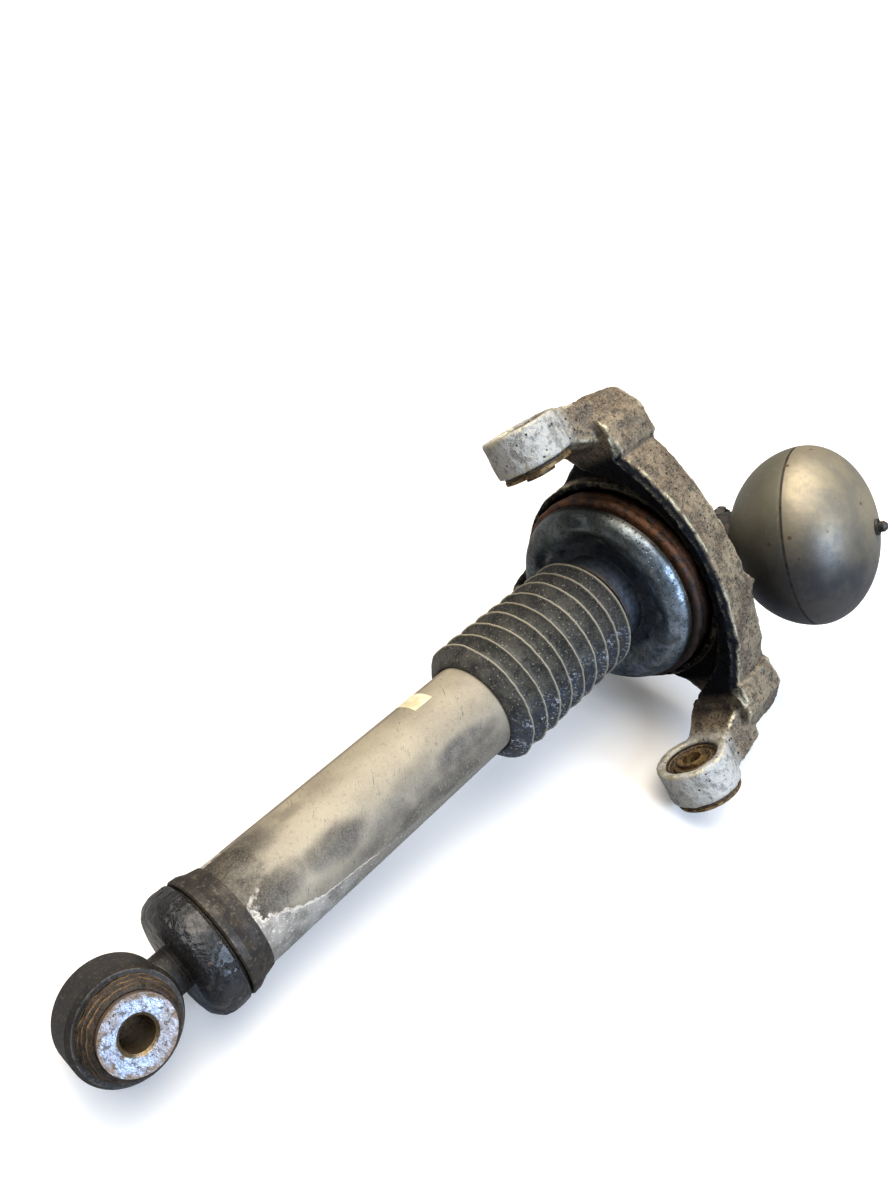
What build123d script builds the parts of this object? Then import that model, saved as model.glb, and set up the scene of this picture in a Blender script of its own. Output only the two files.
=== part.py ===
from build123d import *
import math
import os

# Hydropneumatic suspension strut, standing upright and fully extended.
#
# Frame: the origin is the centre of the lower bush's bore and +Z runs up the strut's axis to the
# head block. The lower bore lies along Y. The two upper pivot eyes share an axis parallel to X.
# All sizes are in millimetres.

# ---- Driving dimensions -------------------------------------------------------------------------

stroke = 75.0                 # travel of the cylinder along the rod
running_gap = 0.05            # radial clearance of a shaft in its bush
body_gap = 0.3                # gap between pieces that move apart

tube_radius = 27.5
tube_wall = 3.5
tube_bottom = 34.0
tube_top = 240.0
bore_radius = tube_radius - tube_wall

rod_radius = 11.0
rod_bore_radius = 4.0
rod_stud_radius = 9.5         # upper end, through the mount and into the head
piston_seat_radius = 8.0      # lower end, inside the piston

eye_radius = 24.3
eye_half_width = 16.5
eye_bore_radius = 20.5
lower_sleeve_radius = 16.0
lower_sleeve_half_length = 29.4
lower_bolt_radius = 7.25

cap_radius = 31.8
cap_bottom = 28.8
cap_seam = 46.0

bellows_crest_radius = 38.5
bellows_root_radius = 31.5
bellows_pitch = 11.84
bellows_folds = 9
bellows_bottom = 229.5
bellows_first_crest = 237.2
bellows_top = 341.0
rubber_skin = 1.6

cup_rim_radius = 63.3
cup_rim_height = 361.0
cup_spigot_radius = 30.0
cup_sheet = 2.0

mount_face = 357.0            # shoulder of the rod that carries the mount stack
roof_bottom = 384.0
roof_top = 396.0
body_face = 402.0             # machined faces that meet the car's body
housing_radius = 72.0
roof_hole_radius = 40.0
body_bolt_circle = 100.0
body_thread_radius = 4.5
body_thread_depth = 20.0

ear_reach = 112.5             # middle of each pivot eye, along X
ear_y = -37.5
ear_z = 325.2
ear_radius = 22.7
ear_half_width = 11.5
ear_bore_radius = 17.0
pivot_bolt_radius = 6.1

accumulator_centre = Vector(33.5, -79.0, 471.5)
accumulator_azimuth = -79.0   # of the pole away from the strut, in degrees from +X
accumulator_rise = 12.0       # of the same pole above the horizontal, in degrees
accumulator_radius = 58.2
neck_side_depth = 50.0        # half-height of the shell on the fluid side
gas_side_depth = 39.0
shell_wall = 4.0
neck_thread_radius = 15.0
neck_bore_radius = 12.0

os.makedirs("parts", exist_ok=True)


def save(piece, label):
    """Label a finished sub-part and write it as its own STEP file."""
    piece.part.label = label
    export_step(piece.part, f"parts/{label}.step")


# ---- Lower eye and its bush ---------------------------------------------------------------------

stem_radius = 11.0
stem_thread_radius = 10.0
stem_top = 44.0
eye_edge = 4.0

with BuildPart() as lower_eye:
    with BuildSketch(Plane.XZ):
        Circle(eye_radius)
    extrude(amount=eye_half_width, both=True)
    chamfer(lower_eye.edges().filter_by(GeomType.CIRCLE), length=eye_edge, length2=eye_edge / 2.4)
    with BuildSketch(Plane.XY):
        Circle(stem_radius)
    extrude(amount=cap_bottom)
    with BuildSketch(Plane.XY.offset(cap_bottom)):
        Circle(stem_thread_radius)
    extrude(amount=stem_top - cap_bottom)
    with BuildSketch(Plane.XZ):
        Circle(eye_bore_radius)
    extrude(amount=2 * eye_half_width, both=True, mode=Mode.SUBTRACT)
save(lower_eye, "lower_eye")

bush_shell_inner = 19.3

with BuildPart() as lower_bush_shell:
    with BuildSketch(Plane.XZ):
        Circle(eye_bore_radius)
        Circle(bush_shell_inner, mode=Mode.SUBTRACT)
    extrude(amount=eye_half_width - 0.5, both=True)
save(lower_bush_shell, "lower_bush_shell")

# The rubber swells out of the eye at both ends in three ribbed steps.
with BuildPart() as lower_bush_rubber:
    rubber_inner = lower_sleeve_radius + running_gap
    with BuildSketch(Plane.XY):
        with BuildLine():
            Polyline(
                (rubber_inner, 0), (bush_shell_inner, 0), (bush_shell_inner, 16.6), (20.2, 17.4),
                (20.2, 20.6), (19.0, 21.4), (19.4, 22.4), (19.0, 23.6), (18.0, 24.2), (18.2, 25.2),
                (17.4, 26.4), (rubber_inner, 26.4), close=True,
            )
        make_face()
    revolve(axis=Axis.Y)
    mirror(about=Plane.XZ)
save(lower_bush_rubber, "lower_bush_rubber")

with BuildPart() as lower_bush_sleeve:
    bore_chamfer = 1.35
    with BuildSketch(Plane.XZ):
        Circle(lower_sleeve_radius)
        Circle(lower_bolt_radius, mode=Mode.SUBTRACT)
    extrude(amount=lower_sleeve_half_length, both=True)
    rims = lower_bush_sleeve.edges().filter_by(GeomType.CIRCLE).sort_by(SortBy.RADIUS)
    chamfer(rims[:2], length=bore_chamfer)
save(lower_bush_sleeve, "lower_bush_sleeve")

# ---- Cylinder -----------------------------------------------------------------------------------

guide_bottom = 214.0
guide_top = 236.0
retainer_thickness = 1.6
retainer_radius = bore_radius + 1.2
retainer_bottom = guide_top + 0.2

with BuildPart() as cylinder_tube:
    with BuildSketch(Plane.XY.offset(tube_bottom)):
        Circle(tube_radius)
        Circle(bore_radius, mode=Mode.SUBTRACT)
    extrude(amount=tube_top - tube_bottom)
    with BuildSketch(Plane.XY.offset(retainer_bottom)):
        Circle(retainer_radius)
    extrude(amount=retainer_thickness, mode=Mode.SUBTRACT)
    outer_rims = cylinder_tube.edges().filter_by(GeomType.CIRCLE).group_by(Axis.Z)[-1]
    chamfer(outer_rims, length=0.8)
save(cylinder_tube, "cylinder_tube")

with BuildPart() as base_cap:
    cap_edge = 7.5
    boss_radius = 18.0
    with BuildSketch(Plane.XZ):
        with BuildLine():
            Polyline((stem_thread_radius, cap_bottom), (cap_radius - cap_edge, cap_bottom))
            RadiusArc(
                (cap_radius - cap_edge, cap_bottom), (cap_radius, cap_bottom + cap_edge), -cap_edge
            )
            Polyline(
                (cap_radius, cap_bottom + cap_edge), (cap_radius, cap_seam - 0.6),
                (cap_radius - 0.6, cap_seam), (tube_radius, cap_seam), (tube_radius, tube_bottom),
                (boss_radius, tube_bottom), (boss_radius, stem_top),
                (stem_thread_radius, stem_top), (stem_thread_radius, cap_bottom),
            )
        make_face()
    revolve(axis=Axis.Z)
save(base_cap, "base_cap")

with BuildPart() as base_ring:
    ring_bottom = cap_seam + 1.2
    with BuildSketch(Plane.XZ):
        with BuildLine():
            Polyline(
                (tube_radius, ring_bottom), (30.8, ring_bottom), (31.5, ring_bottom + 0.8),
                (31.2, ring_bottom + 4.2), (29.4, ring_bottom + 8.4), (28.1, ring_bottom + 14.0),
                (tube_radius, ring_bottom + 14.4), close=True,
            )
        make_face()
    revolve(axis=Axis.Z)
save(base_ring, "base_ring")

# A blank paper label wraps part of the way round the tube, just below the bellows.
with BuildPart() as tube_label:
    label_azimuth = 188.0
    label_span = 36.0
    label_bottom = 191.0
    label_height = 13.0
    label_paper = 0.25
    with BuildSketch(Plane.XY.offset(label_bottom)):
        Circle(tube_radius + label_paper)
        Circle(tube_radius, mode=Mode.SUBTRACT)
        with BuildLine():
            start, end = label_azimuth - label_span / 2, label_azimuth + label_span / 2
            reach = 2 * tube_radius
            Polyline(
                (0, 0),
                (reach * math.cos(math.radians(start)), reach * math.sin(math.radians(start))),
                (reach * math.cos(math.radians(end)), reach * math.sin(math.radians(end))),
                close=True,
            )
        make_face(mode=Mode.INTERSECT)
    extrude(amount=label_height)
save(tube_label, "tube_label")

# ---- Rod guide and its seals --------------------------------------------------------------------

seal_radius = 15.0
rod_seal_bottom = 222.0
rod_seal_height = 4.0
wiper_bottom = guide_top - 3.5
guide_seal_bottom = 217.0
guide_seal_size = 2.6
guide_bore = rod_radius + running_gap

with BuildPart() as rod_guide:
    with BuildSketch(Plane.XY.offset(guide_bottom)):
        Circle(bore_radius)
        Circle(guide_bore, mode=Mode.SUBTRACT)
    extrude(amount=guide_top - guide_bottom)
    with BuildSketch(Plane.XY.offset(rod_seal_bottom)):
        Circle(seal_radius)
    extrude(amount=rod_seal_height, mode=Mode.SUBTRACT)
    with BuildSketch(Plane.XY.offset(wiper_bottom)):
        Circle(seal_radius)
    extrude(amount=guide_top - wiper_bottom, mode=Mode.SUBTRACT)
    with BuildSketch(Plane.XY.offset(guide_seal_bottom)):
        Circle(bore_radius)
        Circle(bore_radius - guide_seal_size, mode=Mode.SUBTRACT)
    extrude(amount=guide_seal_size, mode=Mode.SUBTRACT)
save(rod_guide, "rod_guide")

with BuildPart() as rod_seal:
    with BuildSketch(Plane.XY.offset(rod_seal_bottom)):
        Circle(seal_radius)
        Circle(guide_bore, mode=Mode.SUBTRACT)
    extrude(amount=rod_seal_height)
save(rod_seal, "rod_seal")

with BuildPart() as wiper_seal:
    lip_height = 2.5
    with BuildSketch(Plane.XZ):
        with BuildLine():
            Polyline(
                (guide_bore, wiper_bottom), (seal_radius, wiper_bottom), (seal_radius, guide_top),
                (guide_bore + 1.5, guide_top), (guide_bore + 0.8, guide_top + lip_height),
                (guide_bore, guide_top + lip_height), close=True,
            )
        make_face()
    revolve(axis=Axis.Z)
save(wiper_seal, "wiper_seal")

with BuildPart() as guide_seal:
    with BuildSketch(Plane.XY.offset(guide_seal_bottom)):
        Circle(bore_radius)
        Circle(bore_radius - guide_seal_size, mode=Mode.SUBTRACT)
    extrude(amount=guide_seal_size)
save(guide_seal, "guide_seal")

with BuildPart() as guide_retainer:
    split_width = 5.0
    with BuildSketch(Plane.XY.offset(retainer_bottom)):
        Circle(retainer_radius)
        Circle(retainer_radius - 3.2, mode=Mode.SUBTRACT)
        with Locations((retainer_radius, 0)):
            Rectangle(2 * split_width, split_width, mode=Mode.SUBTRACT)
    extrude(amount=retainer_thickness)
save(guide_retainer, "guide_retainer")

# ---- Rod, piston and stops ----------------------------------------------------------------------

rod_bottom = 168.0
piston_bottom = 178.0
piston_top = 194.0
rod_top = 436.0
stop_top = guide_bottom - body_gap
stop_height = 14.0

with BuildPart() as piston_rod:
    with BuildSketch(Plane.XZ):
        with BuildLine():
            Polyline(
                (rod_bore_radius, rod_bottom), (piston_seat_radius - 1, rod_bottom),
                (piston_seat_radius, rod_bottom + 1), (piston_seat_radius, piston_top + body_gap),
                (rod_radius, piston_top + body_gap), (rod_radius, mount_face),
                (rod_stud_radius, mount_face), (rod_stud_radius, rod_top),
                (rod_bore_radius, rod_top), close=True,
            )
        make_face()
    revolve(axis=Axis.Z)
save(piston_rod, "piston_rod")

with BuildPart() as piston:
    band_height = 6.0
    band_bottom = (piston_bottom + piston_top - band_height) / 2
    band_inner = bore_radius - 2.0
    port_radius = 1.8
    with BuildSketch(Plane.XY.offset(piston_bottom)):
        Circle(bore_radius - 0.1)
        Circle(piston_seat_radius + running_gap, mode=Mode.SUBTRACT)
        with PolarLocations(15.0, 6):
            Circle(port_radius, mode=Mode.SUBTRACT)
    extrude(amount=piston_top - piston_bottom)
    with BuildSketch(Plane.XY.offset(band_bottom)):
        Circle(bore_radius)
        Circle(band_inner, mode=Mode.SUBTRACT)
    extrude(amount=band_height, mode=Mode.SUBTRACT)
save(piston, "piston")

with BuildPart() as piston_band:
    with BuildSketch(Plane.XY.offset(band_bottom)):
        Circle(bore_radius - running_gap)
        Circle(band_inner, mode=Mode.SUBTRACT)
    extrude(amount=band_height)
save(piston_band, "piston_band")

with BuildPart() as piston_nut:
    nut_flats = 22.0
    nut_bottom = rod_bottom + 1.5
    with BuildSketch(Plane.XY.offset(nut_bottom)):
        RegularPolygon(nut_flats / 2, 6, major_radius=False)
        Circle(piston_seat_radius, mode=Mode.SUBTRACT)
    extrude(amount=piston_bottom - body_gap - nut_bottom)
save(piston_nut, "piston_nut")

with BuildPart() as rebound_stop:
    with BuildSketch(Plane.XY.offset(stop_top - stop_height)):
        Circle(rod_radius + 7)
        Circle(rod_radius, mode=Mode.SUBTRACT)
    extrude(amount=stop_height)
save(rebound_stop, "rebound_stop")

# ---- Bump stop, bellows and cup -----------------------------------------------------------------

spool_flange_radius = 40.0
spool_hub_radius = 20.0
spool_step = 359.2
spool_flange_top = 362.0
washer_bottom = 401.0
washer_top = 404.0

with BuildPart() as bump_stop:
    stop_bottom = tube_top + stroke + 5
    waist = 335.0
    with BuildSketch(Plane.XZ):
        with BuildLine():
            Polyline(
                (rod_radius, stop_bottom), (17, stop_bottom), (20, stop_bottom + 5),
                (20, waist - 3), (17, waist), (20, waist + 3), (24, waist + 8), (24, mount_face),
                (rod_radius, mount_face), close=True,
            )
        make_face()
    revolve(axis=Axis.Z)
save(bump_stop, "bump_stop")


def bellows_outline(skin):
    """Zigzag from the lower lip to the upper lip, set inwards by the thickness of the rubber."""
    zigzag = [(bellows_root_radius - 2.6, bellows_bottom)]
    for fold in range(bellows_folds):
        crest = bellows_first_crest + fold * bellows_pitch
        zigzag.append((bellows_crest_radius, crest - 0.6))
        zigzag.append((bellows_crest_radius, crest + 0.6))
        zigzag.append((bellows_root_radius, crest + bellows_pitch / 2))
    zigzag.append((bellows_root_radius, bellows_top))
    return [(radius - skin, height) for radius, height in zigzag]


with BuildPart() as bellows:
    outside = bellows_outline(0)
    inside = bellows_outline(rubber_skin)
    inside[0] = (tube_radius + 0.2, bellows_bottom)
    inside[-2:] = [
        (cup_spigot_radius, inside[-2][1]),
        (cup_spigot_radius, bellows_top),
    ]
    with BuildSketch(Plane.XZ):
        with BuildLine():
            Polyline(*outside, *reversed(inside), close=True)
        make_face()
    revolve(axis=Axis.Z)
save(bellows, "bellows")

with BuildPart() as bellows_top_clip:
    with BuildSketch(Plane.XY.offset(bellows_top - 2.5)):
        Circle(bellows_root_radius + 1.2)
        Circle(bellows_root_radius, mode=Mode.SUBTRACT)
    extrude(amount=2.4)
save(bellows_top_clip, "bellows_top_clip")

# Pressed cup: a spigot for the bellows, a flat floor, a bulged ring and a rolled rim.
with BuildPart() as mount_cup:
    floor_height = spool_step - cup_sheet
    bulge_radius = 52.0
    bulge_bottom = 350.5
    with BuildSketch(Plane.XZ):
        with BuildLine() as sheet_line:
            spigot_middle = cup_spigot_radius - cup_sheet / 2
            floor_middle = floor_height + cup_sheet / 2
            spigot = Line((spigot_middle, 338.5), (spigot_middle, floor_middle - 3))
            bend = RadiusArc(spigot @ 1, (spigot_middle + 3, floor_middle), 3)
            flat = Line(bend @ 1, (39.0, floor_middle))
            dip = Spline(
                flat @ 1, (43.5, 355.0), (bulge_radius, bulge_bottom + cup_sheet / 2),
                (59.5, 355.5), (cup_rim_radius - 1.2, cup_rim_height + 0.6),
                tangents=((1, 0), (0.15, 1)),
            )
        trace(line_width=cup_sheet)
    revolve(axis=Axis.Z)
    with BuildSketch(Plane.XZ):
        with Locations((cup_rim_radius - 1.5, cup_rim_height)):
            Circle(1.5)
    revolve(axis=Axis.Z)
save(mount_cup, "mount_cup")

# ---- Mount stack --------------------------------------------------------------------------------

with BuildPart() as core_spool:
    with BuildSketch(Plane.XZ):
        with BuildLine():
            Polyline(
                (rod_stud_radius, mount_face), (27.8, mount_face), (27.8, spool_step),
                (spool_flange_radius, spool_step), (spool_flange_radius, spool_flange_top),
                (spool_hub_radius, spool_flange_top), (spool_hub_radius, washer_bottom),
                (rod_stud_radius, washer_bottom), close=True,
            )
        make_face()
    revolve(axis=Axis.Z)
save(core_spool, "core_spool")

with BuildPart() as isolator_ring:
    isolator_radius = 66.0
    hub_clearance = spool_hub_radius + body_gap
    with BuildSketch(Plane.XZ):
        with BuildLine():
            Polyline(
                (hub_clearance, spool_flange_top + body_gap), (44, spool_flange_top + body_gap),
                (47.5, 357.5), (56, 357.5), (58.5, 362.9), (64.6, 362.9),
                (isolator_radius, 364.4), (isolator_radius, 367.6), (64.4, 368.8), (64.4, 370.2),
                (isolator_radius, 371.4), (isolator_radius, 375.0), (63.0, 378.0),
                (63.0, roof_bottom), (roof_hole_radius, roof_bottom),
                (roof_hole_radius, roof_top), (hub_clearance, roof_top), close=True,
            )
        make_face()
    revolve(axis=Axis.Z)
save(isolator_ring, "isolator_ring")

with BuildPart() as rebound_cushion:
    with BuildSketch(Plane.XY.offset(roof_top)):
        Circle(36)
        Circle(hub_clearance, mode=Mode.SUBTRACT)
    extrude(amount=washer_bottom - body_gap - roof_top)
save(rebound_cushion, "rebound_cushion")

with BuildPart() as rebound_washer:
    with BuildSketch(Plane.XY.offset(washer_bottom)):
        Circle(37)
        Circle(rod_stud_radius, mode=Mode.SUBTRACT)
    extrude(amount=washer_top - washer_bottom)
save(rebound_washer, "rebound_washer")

# ---- Accumulator --------------------------------------------------------------------------------

azimuth = math.radians(accumulator_azimuth)
rise = math.radians(accumulator_rise)
pole = Vector(
    math.cos(rise) * math.cos(azimuth), math.cos(rise) * math.sin(azimuth), math.sin(rise)
)
pole_axis = Axis(accumulator_centre, pole)
# In this plane local X runs along the accumulator's axis and local Y is the radius.
meridian = Plane(origin=accumulator_centre, x_dir=pole, z_dir=pole.cross(Vector(0, 0, 1)))


def along_pole(distance):
    """Plane across the accumulator's axis, at a distance from its centre towards the gas pole."""
    return Plane(origin=accumulator_centre + pole * distance, z_dir=pole)


seam_half_width = 0.7
diaphragm_radius = 49.2
diaphragm_depth = 40.0
diaphragm_skin = 2.0
diaphragm_hole = 3.0

with BuildPart() as sphere_fluid_shell:
    with BuildSketch(meridian):
        Ellipse(neck_side_depth, accumulator_radius)
        Ellipse(
            neck_side_depth - shell_wall, accumulator_radius - shell_wall, mode=Mode.SUBTRACT
        )
        with Locations((-neck_side_depth - seam_half_width, neck_bore_radius)):
            Rectangle(
                neck_side_depth, accumulator_radius,
                align=(Align.MIN, Align.MIN), mode=Mode.INTERSECT,
            )
    revolve(axis=pole_axis)
save(sphere_fluid_shell, "sphere_fluid_shell")

plug_thread_radius = 4.0

with BuildPart() as sphere_gas_shell:
    with BuildSketch(meridian):
        Ellipse(gas_side_depth, accumulator_radius)
        Ellipse(gas_side_depth - shell_wall, accumulator_radius - shell_wall, mode=Mode.SUBTRACT)
        with Locations((seam_half_width, plug_thread_radius)):
            Rectangle(
                gas_side_depth, accumulator_radius,
                align=(Align.MIN, Align.MIN), mode=Mode.INTERSECT,
            )
    revolve(axis=pole_axis)
save(sphere_gas_shell, "sphere_gas_shell")

with BuildPart() as sphere_weld:
    with BuildSketch(along_pole(-seam_half_width)):
        Circle(accumulator_radius - 0.5)
        Circle(accumulator_radius - shell_wall + 0.1, mode=Mode.SUBTRACT)
    extrude(amount=2 * seam_half_width)
save(sphere_weld, "sphere_weld")

with BuildPart() as diaphragm_clamp:
    clamp_half_width = 3.0
    with BuildSketch(along_pole(-clamp_half_width)):
        Circle(accumulator_radius - shell_wall - 0.4)
        Circle(diaphragm_radius, mode=Mode.SUBTRACT)
    extrude(amount=2 * clamp_half_width)
save(diaphragm_clamp, "diaphragm_clamp")

with BuildPart() as diaphragm:
    with BuildSketch(meridian):
        Ellipse(diaphragm_depth, diaphragm_radius)
        Ellipse(
            diaphragm_depth - diaphragm_skin, diaphragm_radius - diaphragm_skin,
            mode=Mode.SUBTRACT,
        )
        with Locations((0, diaphragm_hole)):
            Rectangle(
                2 * diaphragm_depth, 2 * diaphragm_radius,
                align=(Align.MAX, Align.MIN), mode=Mode.INTERSECT,
            )
    revolve(axis=pole_axis)
save(diaphragm, "diaphragm")

with BuildPart() as diaphragm_button:
    button_thickness = 2.0
    fluid_face = -diaphragm_depth - body_gap - button_thickness
    gas_face = -diaphragm_depth + diaphragm_skin + 2 * body_gap
    for disc_face, disc_radius in ((fluid_face, 9.0), (gas_face, 6.0)):
        with BuildSketch(along_pole(disc_face)):
            Circle(disc_radius)
        extrude(amount=button_thickness)
    with BuildSketch(along_pole(fluid_face)):
        Circle(diaphragm_hole - body_gap)
    extrude(amount=gas_face - fluid_face)
save(diaphragm_button, "diaphragm_button")

neck_face = -55.0             # face of the neck's collar that meets the head block
neck_end = -73.0

with BuildPart() as sphere_neck:
    with BuildSketch(meridian):
        with Locations((neck_face, neck_bore_radius)):
            Rectangle(12, 23 - neck_bore_radius, align=(Align.MIN, Align.MIN))
        with Locations((neck_end, neck_bore_radius)):
            Rectangle(
                neck_face - neck_end, neck_thread_radius - neck_bore_radius,
                align=(Align.MIN, Align.MIN),
            )
        Ellipse(neck_side_depth, accumulator_radius, mode=Mode.SUBTRACT)
    revolve(axis=pole_axis)
save(sphere_neck, "sphere_neck")

valve_bottom = -68.0
valve_length = 11.0
shim_thickness = 0.8
rivet_radius = 2.0

with BuildPart() as damper_valve:
    with BuildSketch(along_pole(valve_bottom)):
        Circle(neck_bore_radius)
        Circle(rivet_radius, mode=Mode.SUBTRACT)
        with PolarLocations(7.0, 6):
            Circle(1.5, mode=Mode.SUBTRACT)
    extrude(amount=valve_length)
save(damper_valve, "damper_valve")

with BuildPart() as shim_stack:
    for shim_face in (valve_bottom - shim_thickness, valve_bottom + valve_length):
        with BuildSketch(along_pole(shim_face)):
            Circle(9.0)
            Circle(rivet_radius, mode=Mode.SUBTRACT)
        extrude(amount=shim_thickness)
save(shim_stack, "shim_stack")

with BuildPart() as valve_rivet:
    rivet_head = 1.6
    rivet_start = valve_bottom - shim_thickness
    rivet_length = valve_length + 2 * shim_thickness
    with BuildSketch(along_pole(rivet_start)):
        Circle(rivet_radius)
    extrude(amount=rivet_length)
    for head_face in (rivet_start - rivet_head, rivet_start + rivet_length):
        with BuildSketch(along_pole(head_face)):
            Circle(2 * rivet_radius)
        extrude(amount=rivet_head)
save(valve_rivet, "valve_rivet")

with BuildPart() as sphere_fill_plug:
    with BuildSketch(meridian):
        with BuildLine():
            Polyline(
                (gas_side_depth - 6, 0), (gas_side_depth - 6, plug_thread_radius),
                (gas_side_depth + 0.3, plug_thread_radius), (gas_side_depth + 0.3, 5.2),
                (gas_side_depth + 1.6, 5.2), (gas_side_depth + 1.6, 3.4),
                (gas_side_depth + 4.6, 3.4), (gas_side_depth + 6.4, 2.0),
                (gas_side_depth + 6.6, 0), close=True,
            )
        make_face()
    revolve(axis=pole_axis)
save(sphere_fill_plug, "sphere_fill_plug")

# ---- Head block ---------------------------------------------------------------------------------

head_radius = 24.0
head_top = 464.0
chamber_radius = rod_stud_radius - 1.0
chamber_top = 456.0
boss_radius_on_pole = 22.0
boss_start = -88.0
gallery_radius = 7.0
cross_drill_radius = 4.0
seal_groove_depth = 2.0
port_z = 448.0
port_face = 31.0
union_thread_radius = 6.0
union_depth = 11.0

# The bleed screw points up and sideways out of the boss, square to the accumulator's axis.
bleed_base = accumulator_centre + pole * -61.5
bleed_side = Vector(-1, 0, 1)
bleed_direction = (bleed_side - pole * bleed_side.dot(pole)).normalized()
bleed_thread_radius = 3.0
bleed_seat = 21.0

with BuildPart() as head_block:
    with BuildSketch(Plane.XY.offset(washer_top)):
        Circle(head_radius)
    extrude(amount=head_top - washer_top)
    chamfer(head_block.edges().group_by(Axis.Z)[-1], length=4)
    with BuildSketch(along_pole(boss_start)):
        Circle(boss_radius_on_pole)
    extrude(amount=neck_face - boss_start)
    with BuildSketch(Plane(origin=(0, 0, port_z), z_dir=(0, 1, 0))):
        Circle(11)
    extrude(amount=port_face)
    with BuildSketch(Plane.XY.offset(washer_top)):
        Circle(rod_stud_radius)
    extrude(amount=rod_top - washer_top, mode=Mode.SUBTRACT)
    with BuildSketch(Plane.XY.offset(rod_top)):
        Circle(chamber_radius)
    extrude(amount=chamber_top - rod_top, mode=Mode.SUBTRACT)
    # cross drilling from the chamber to the gallery, square to the strut's axis
    pole_level = Vector(pole.X, pole.Y, 0).normalized()
    to_strut = accumulator_centre - pole_level * (accumulator_centre.dot(pole_level))
    gallery_point = Vector(to_strut.X, to_strut.Y, 0)
    gallery_z = accumulator_centre.Z - accumulator_centre.dot(pole_level) * math.tan(rise)
    with BuildSketch(Plane(origin=(0, 0, gallery_z), z_dir=gallery_point.normalized())):
        Circle(cross_drill_radius)
    extrude(amount=gallery_point.length, mode=Mode.SUBTRACT)
    with BuildSketch(along_pole(boss_start + 2)):
        Circle(gallery_radius)
    extrude(amount=neck_face - boss_start, mode=Mode.SUBTRACT)
    with BuildSketch(along_pole(neck_end)):
        Circle(neck_thread_radius)
    extrude(amount=neck_face - neck_end, mode=Mode.SUBTRACT)
    with BuildSketch(along_pole(neck_face - seal_groove_depth)):
        Circle(19.5)
        Circle(16.0, mode=Mode.SUBTRACT)
    extrude(amount=seal_groove_depth, mode=Mode.SUBTRACT)
    with BuildSketch(Plane(origin=(0, port_face - union_depth, port_z), z_dir=(0, 1, 0))):
        Circle(union_thread_radius)
    extrude(amount=union_depth, mode=Mode.SUBTRACT)
    with BuildSketch(Plane(origin=(0, 0, port_z), z_dir=(0, 1, 0))):
        Circle(2.5)
    extrude(amount=port_face, mode=Mode.SUBTRACT)
    with BuildSketch(Plane(origin=bleed_base + bleed_direction * 12, z_dir=bleed_direction)):
        Circle(bleed_thread_radius)
    extrude(amount=12, mode=Mode.SUBTRACT)
save(head_block, "head_block")

with BuildPart() as neck_seal:
    with BuildSketch(along_pole(neck_face - seal_groove_depth)):
        Circle(19.5)
        Circle(16.0, mode=Mode.SUBTRACT)
    extrude(amount=seal_groove_depth)
save(neck_seal, "neck_seal")

pipe_thread_radius = 4.5
pipe_thread_depth = 10.0
union_end = 46.0

with BuildPart() as hose_union:
    with BuildSketch(Plane(origin=(0, port_face - union_depth, port_z), z_dir=(0, 1, 0))):
        Circle(union_thread_radius)
    extrude(amount=union_depth)
    with BuildSketch(Plane(origin=(0, port_face, port_z), z_dir=(0, 1, 0))):
        RegularPolygon(8.5, 6, major_radius=False)
    extrude(amount=7)
    with BuildSketch(Plane(origin=(0, port_face, port_z), z_dir=(0, 1, 0))):
        Circle(7)
    extrude(amount=union_end - port_face)
    with BuildSketch(Plane(origin=(0, port_face - union_depth, port_z), z_dir=(0, 1, 0))):
        Circle(2.0)
    extrude(amount=union_end, mode=Mode.SUBTRACT)
    with BuildSketch(Plane(origin=(0, union_end - pipe_thread_depth, port_z), z_dir=(0, 1, 0))):
        Circle(pipe_thread_radius)
    extrude(amount=pipe_thread_depth, mode=Mode.SUBTRACT)
save(hose_union, "hose_union")

with BuildPart() as bleed_screw:
    with BuildSketch(Plane(origin=bleed_base + bleed_direction * 15, z_dir=bleed_direction)):
        Circle(bleed_thread_radius)
    extrude(amount=bleed_seat + 8 - 15)
    with BuildSketch(
        Plane(origin=bleed_base + bleed_direction * (bleed_seat + 1.2), z_dir=bleed_direction)
    ):
        RegularPolygon(5, 6, major_radius=False)
    extrude(amount=4.5)
save(bleed_screw, "bleed_screw")

# ---- Upper bracket ------------------------------------------------------------------------------

wall_bottom = 361.0
front_radius = 188.0          # outer face of the front wall, seen from above
front_y = -77.0
wall_inner_y = -69.5
wall_inner_radius = 116.0
wall_half_length = 92.0
pad_bottom = 362.0
arm_foot = 342.0


def arc_y(radius, crown, x):
    """Y of an arc that bulges towards -Y, with its crown on the strut's middle plane."""
    return crown + radius - math.sqrt(radius**2 - x**2)


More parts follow.
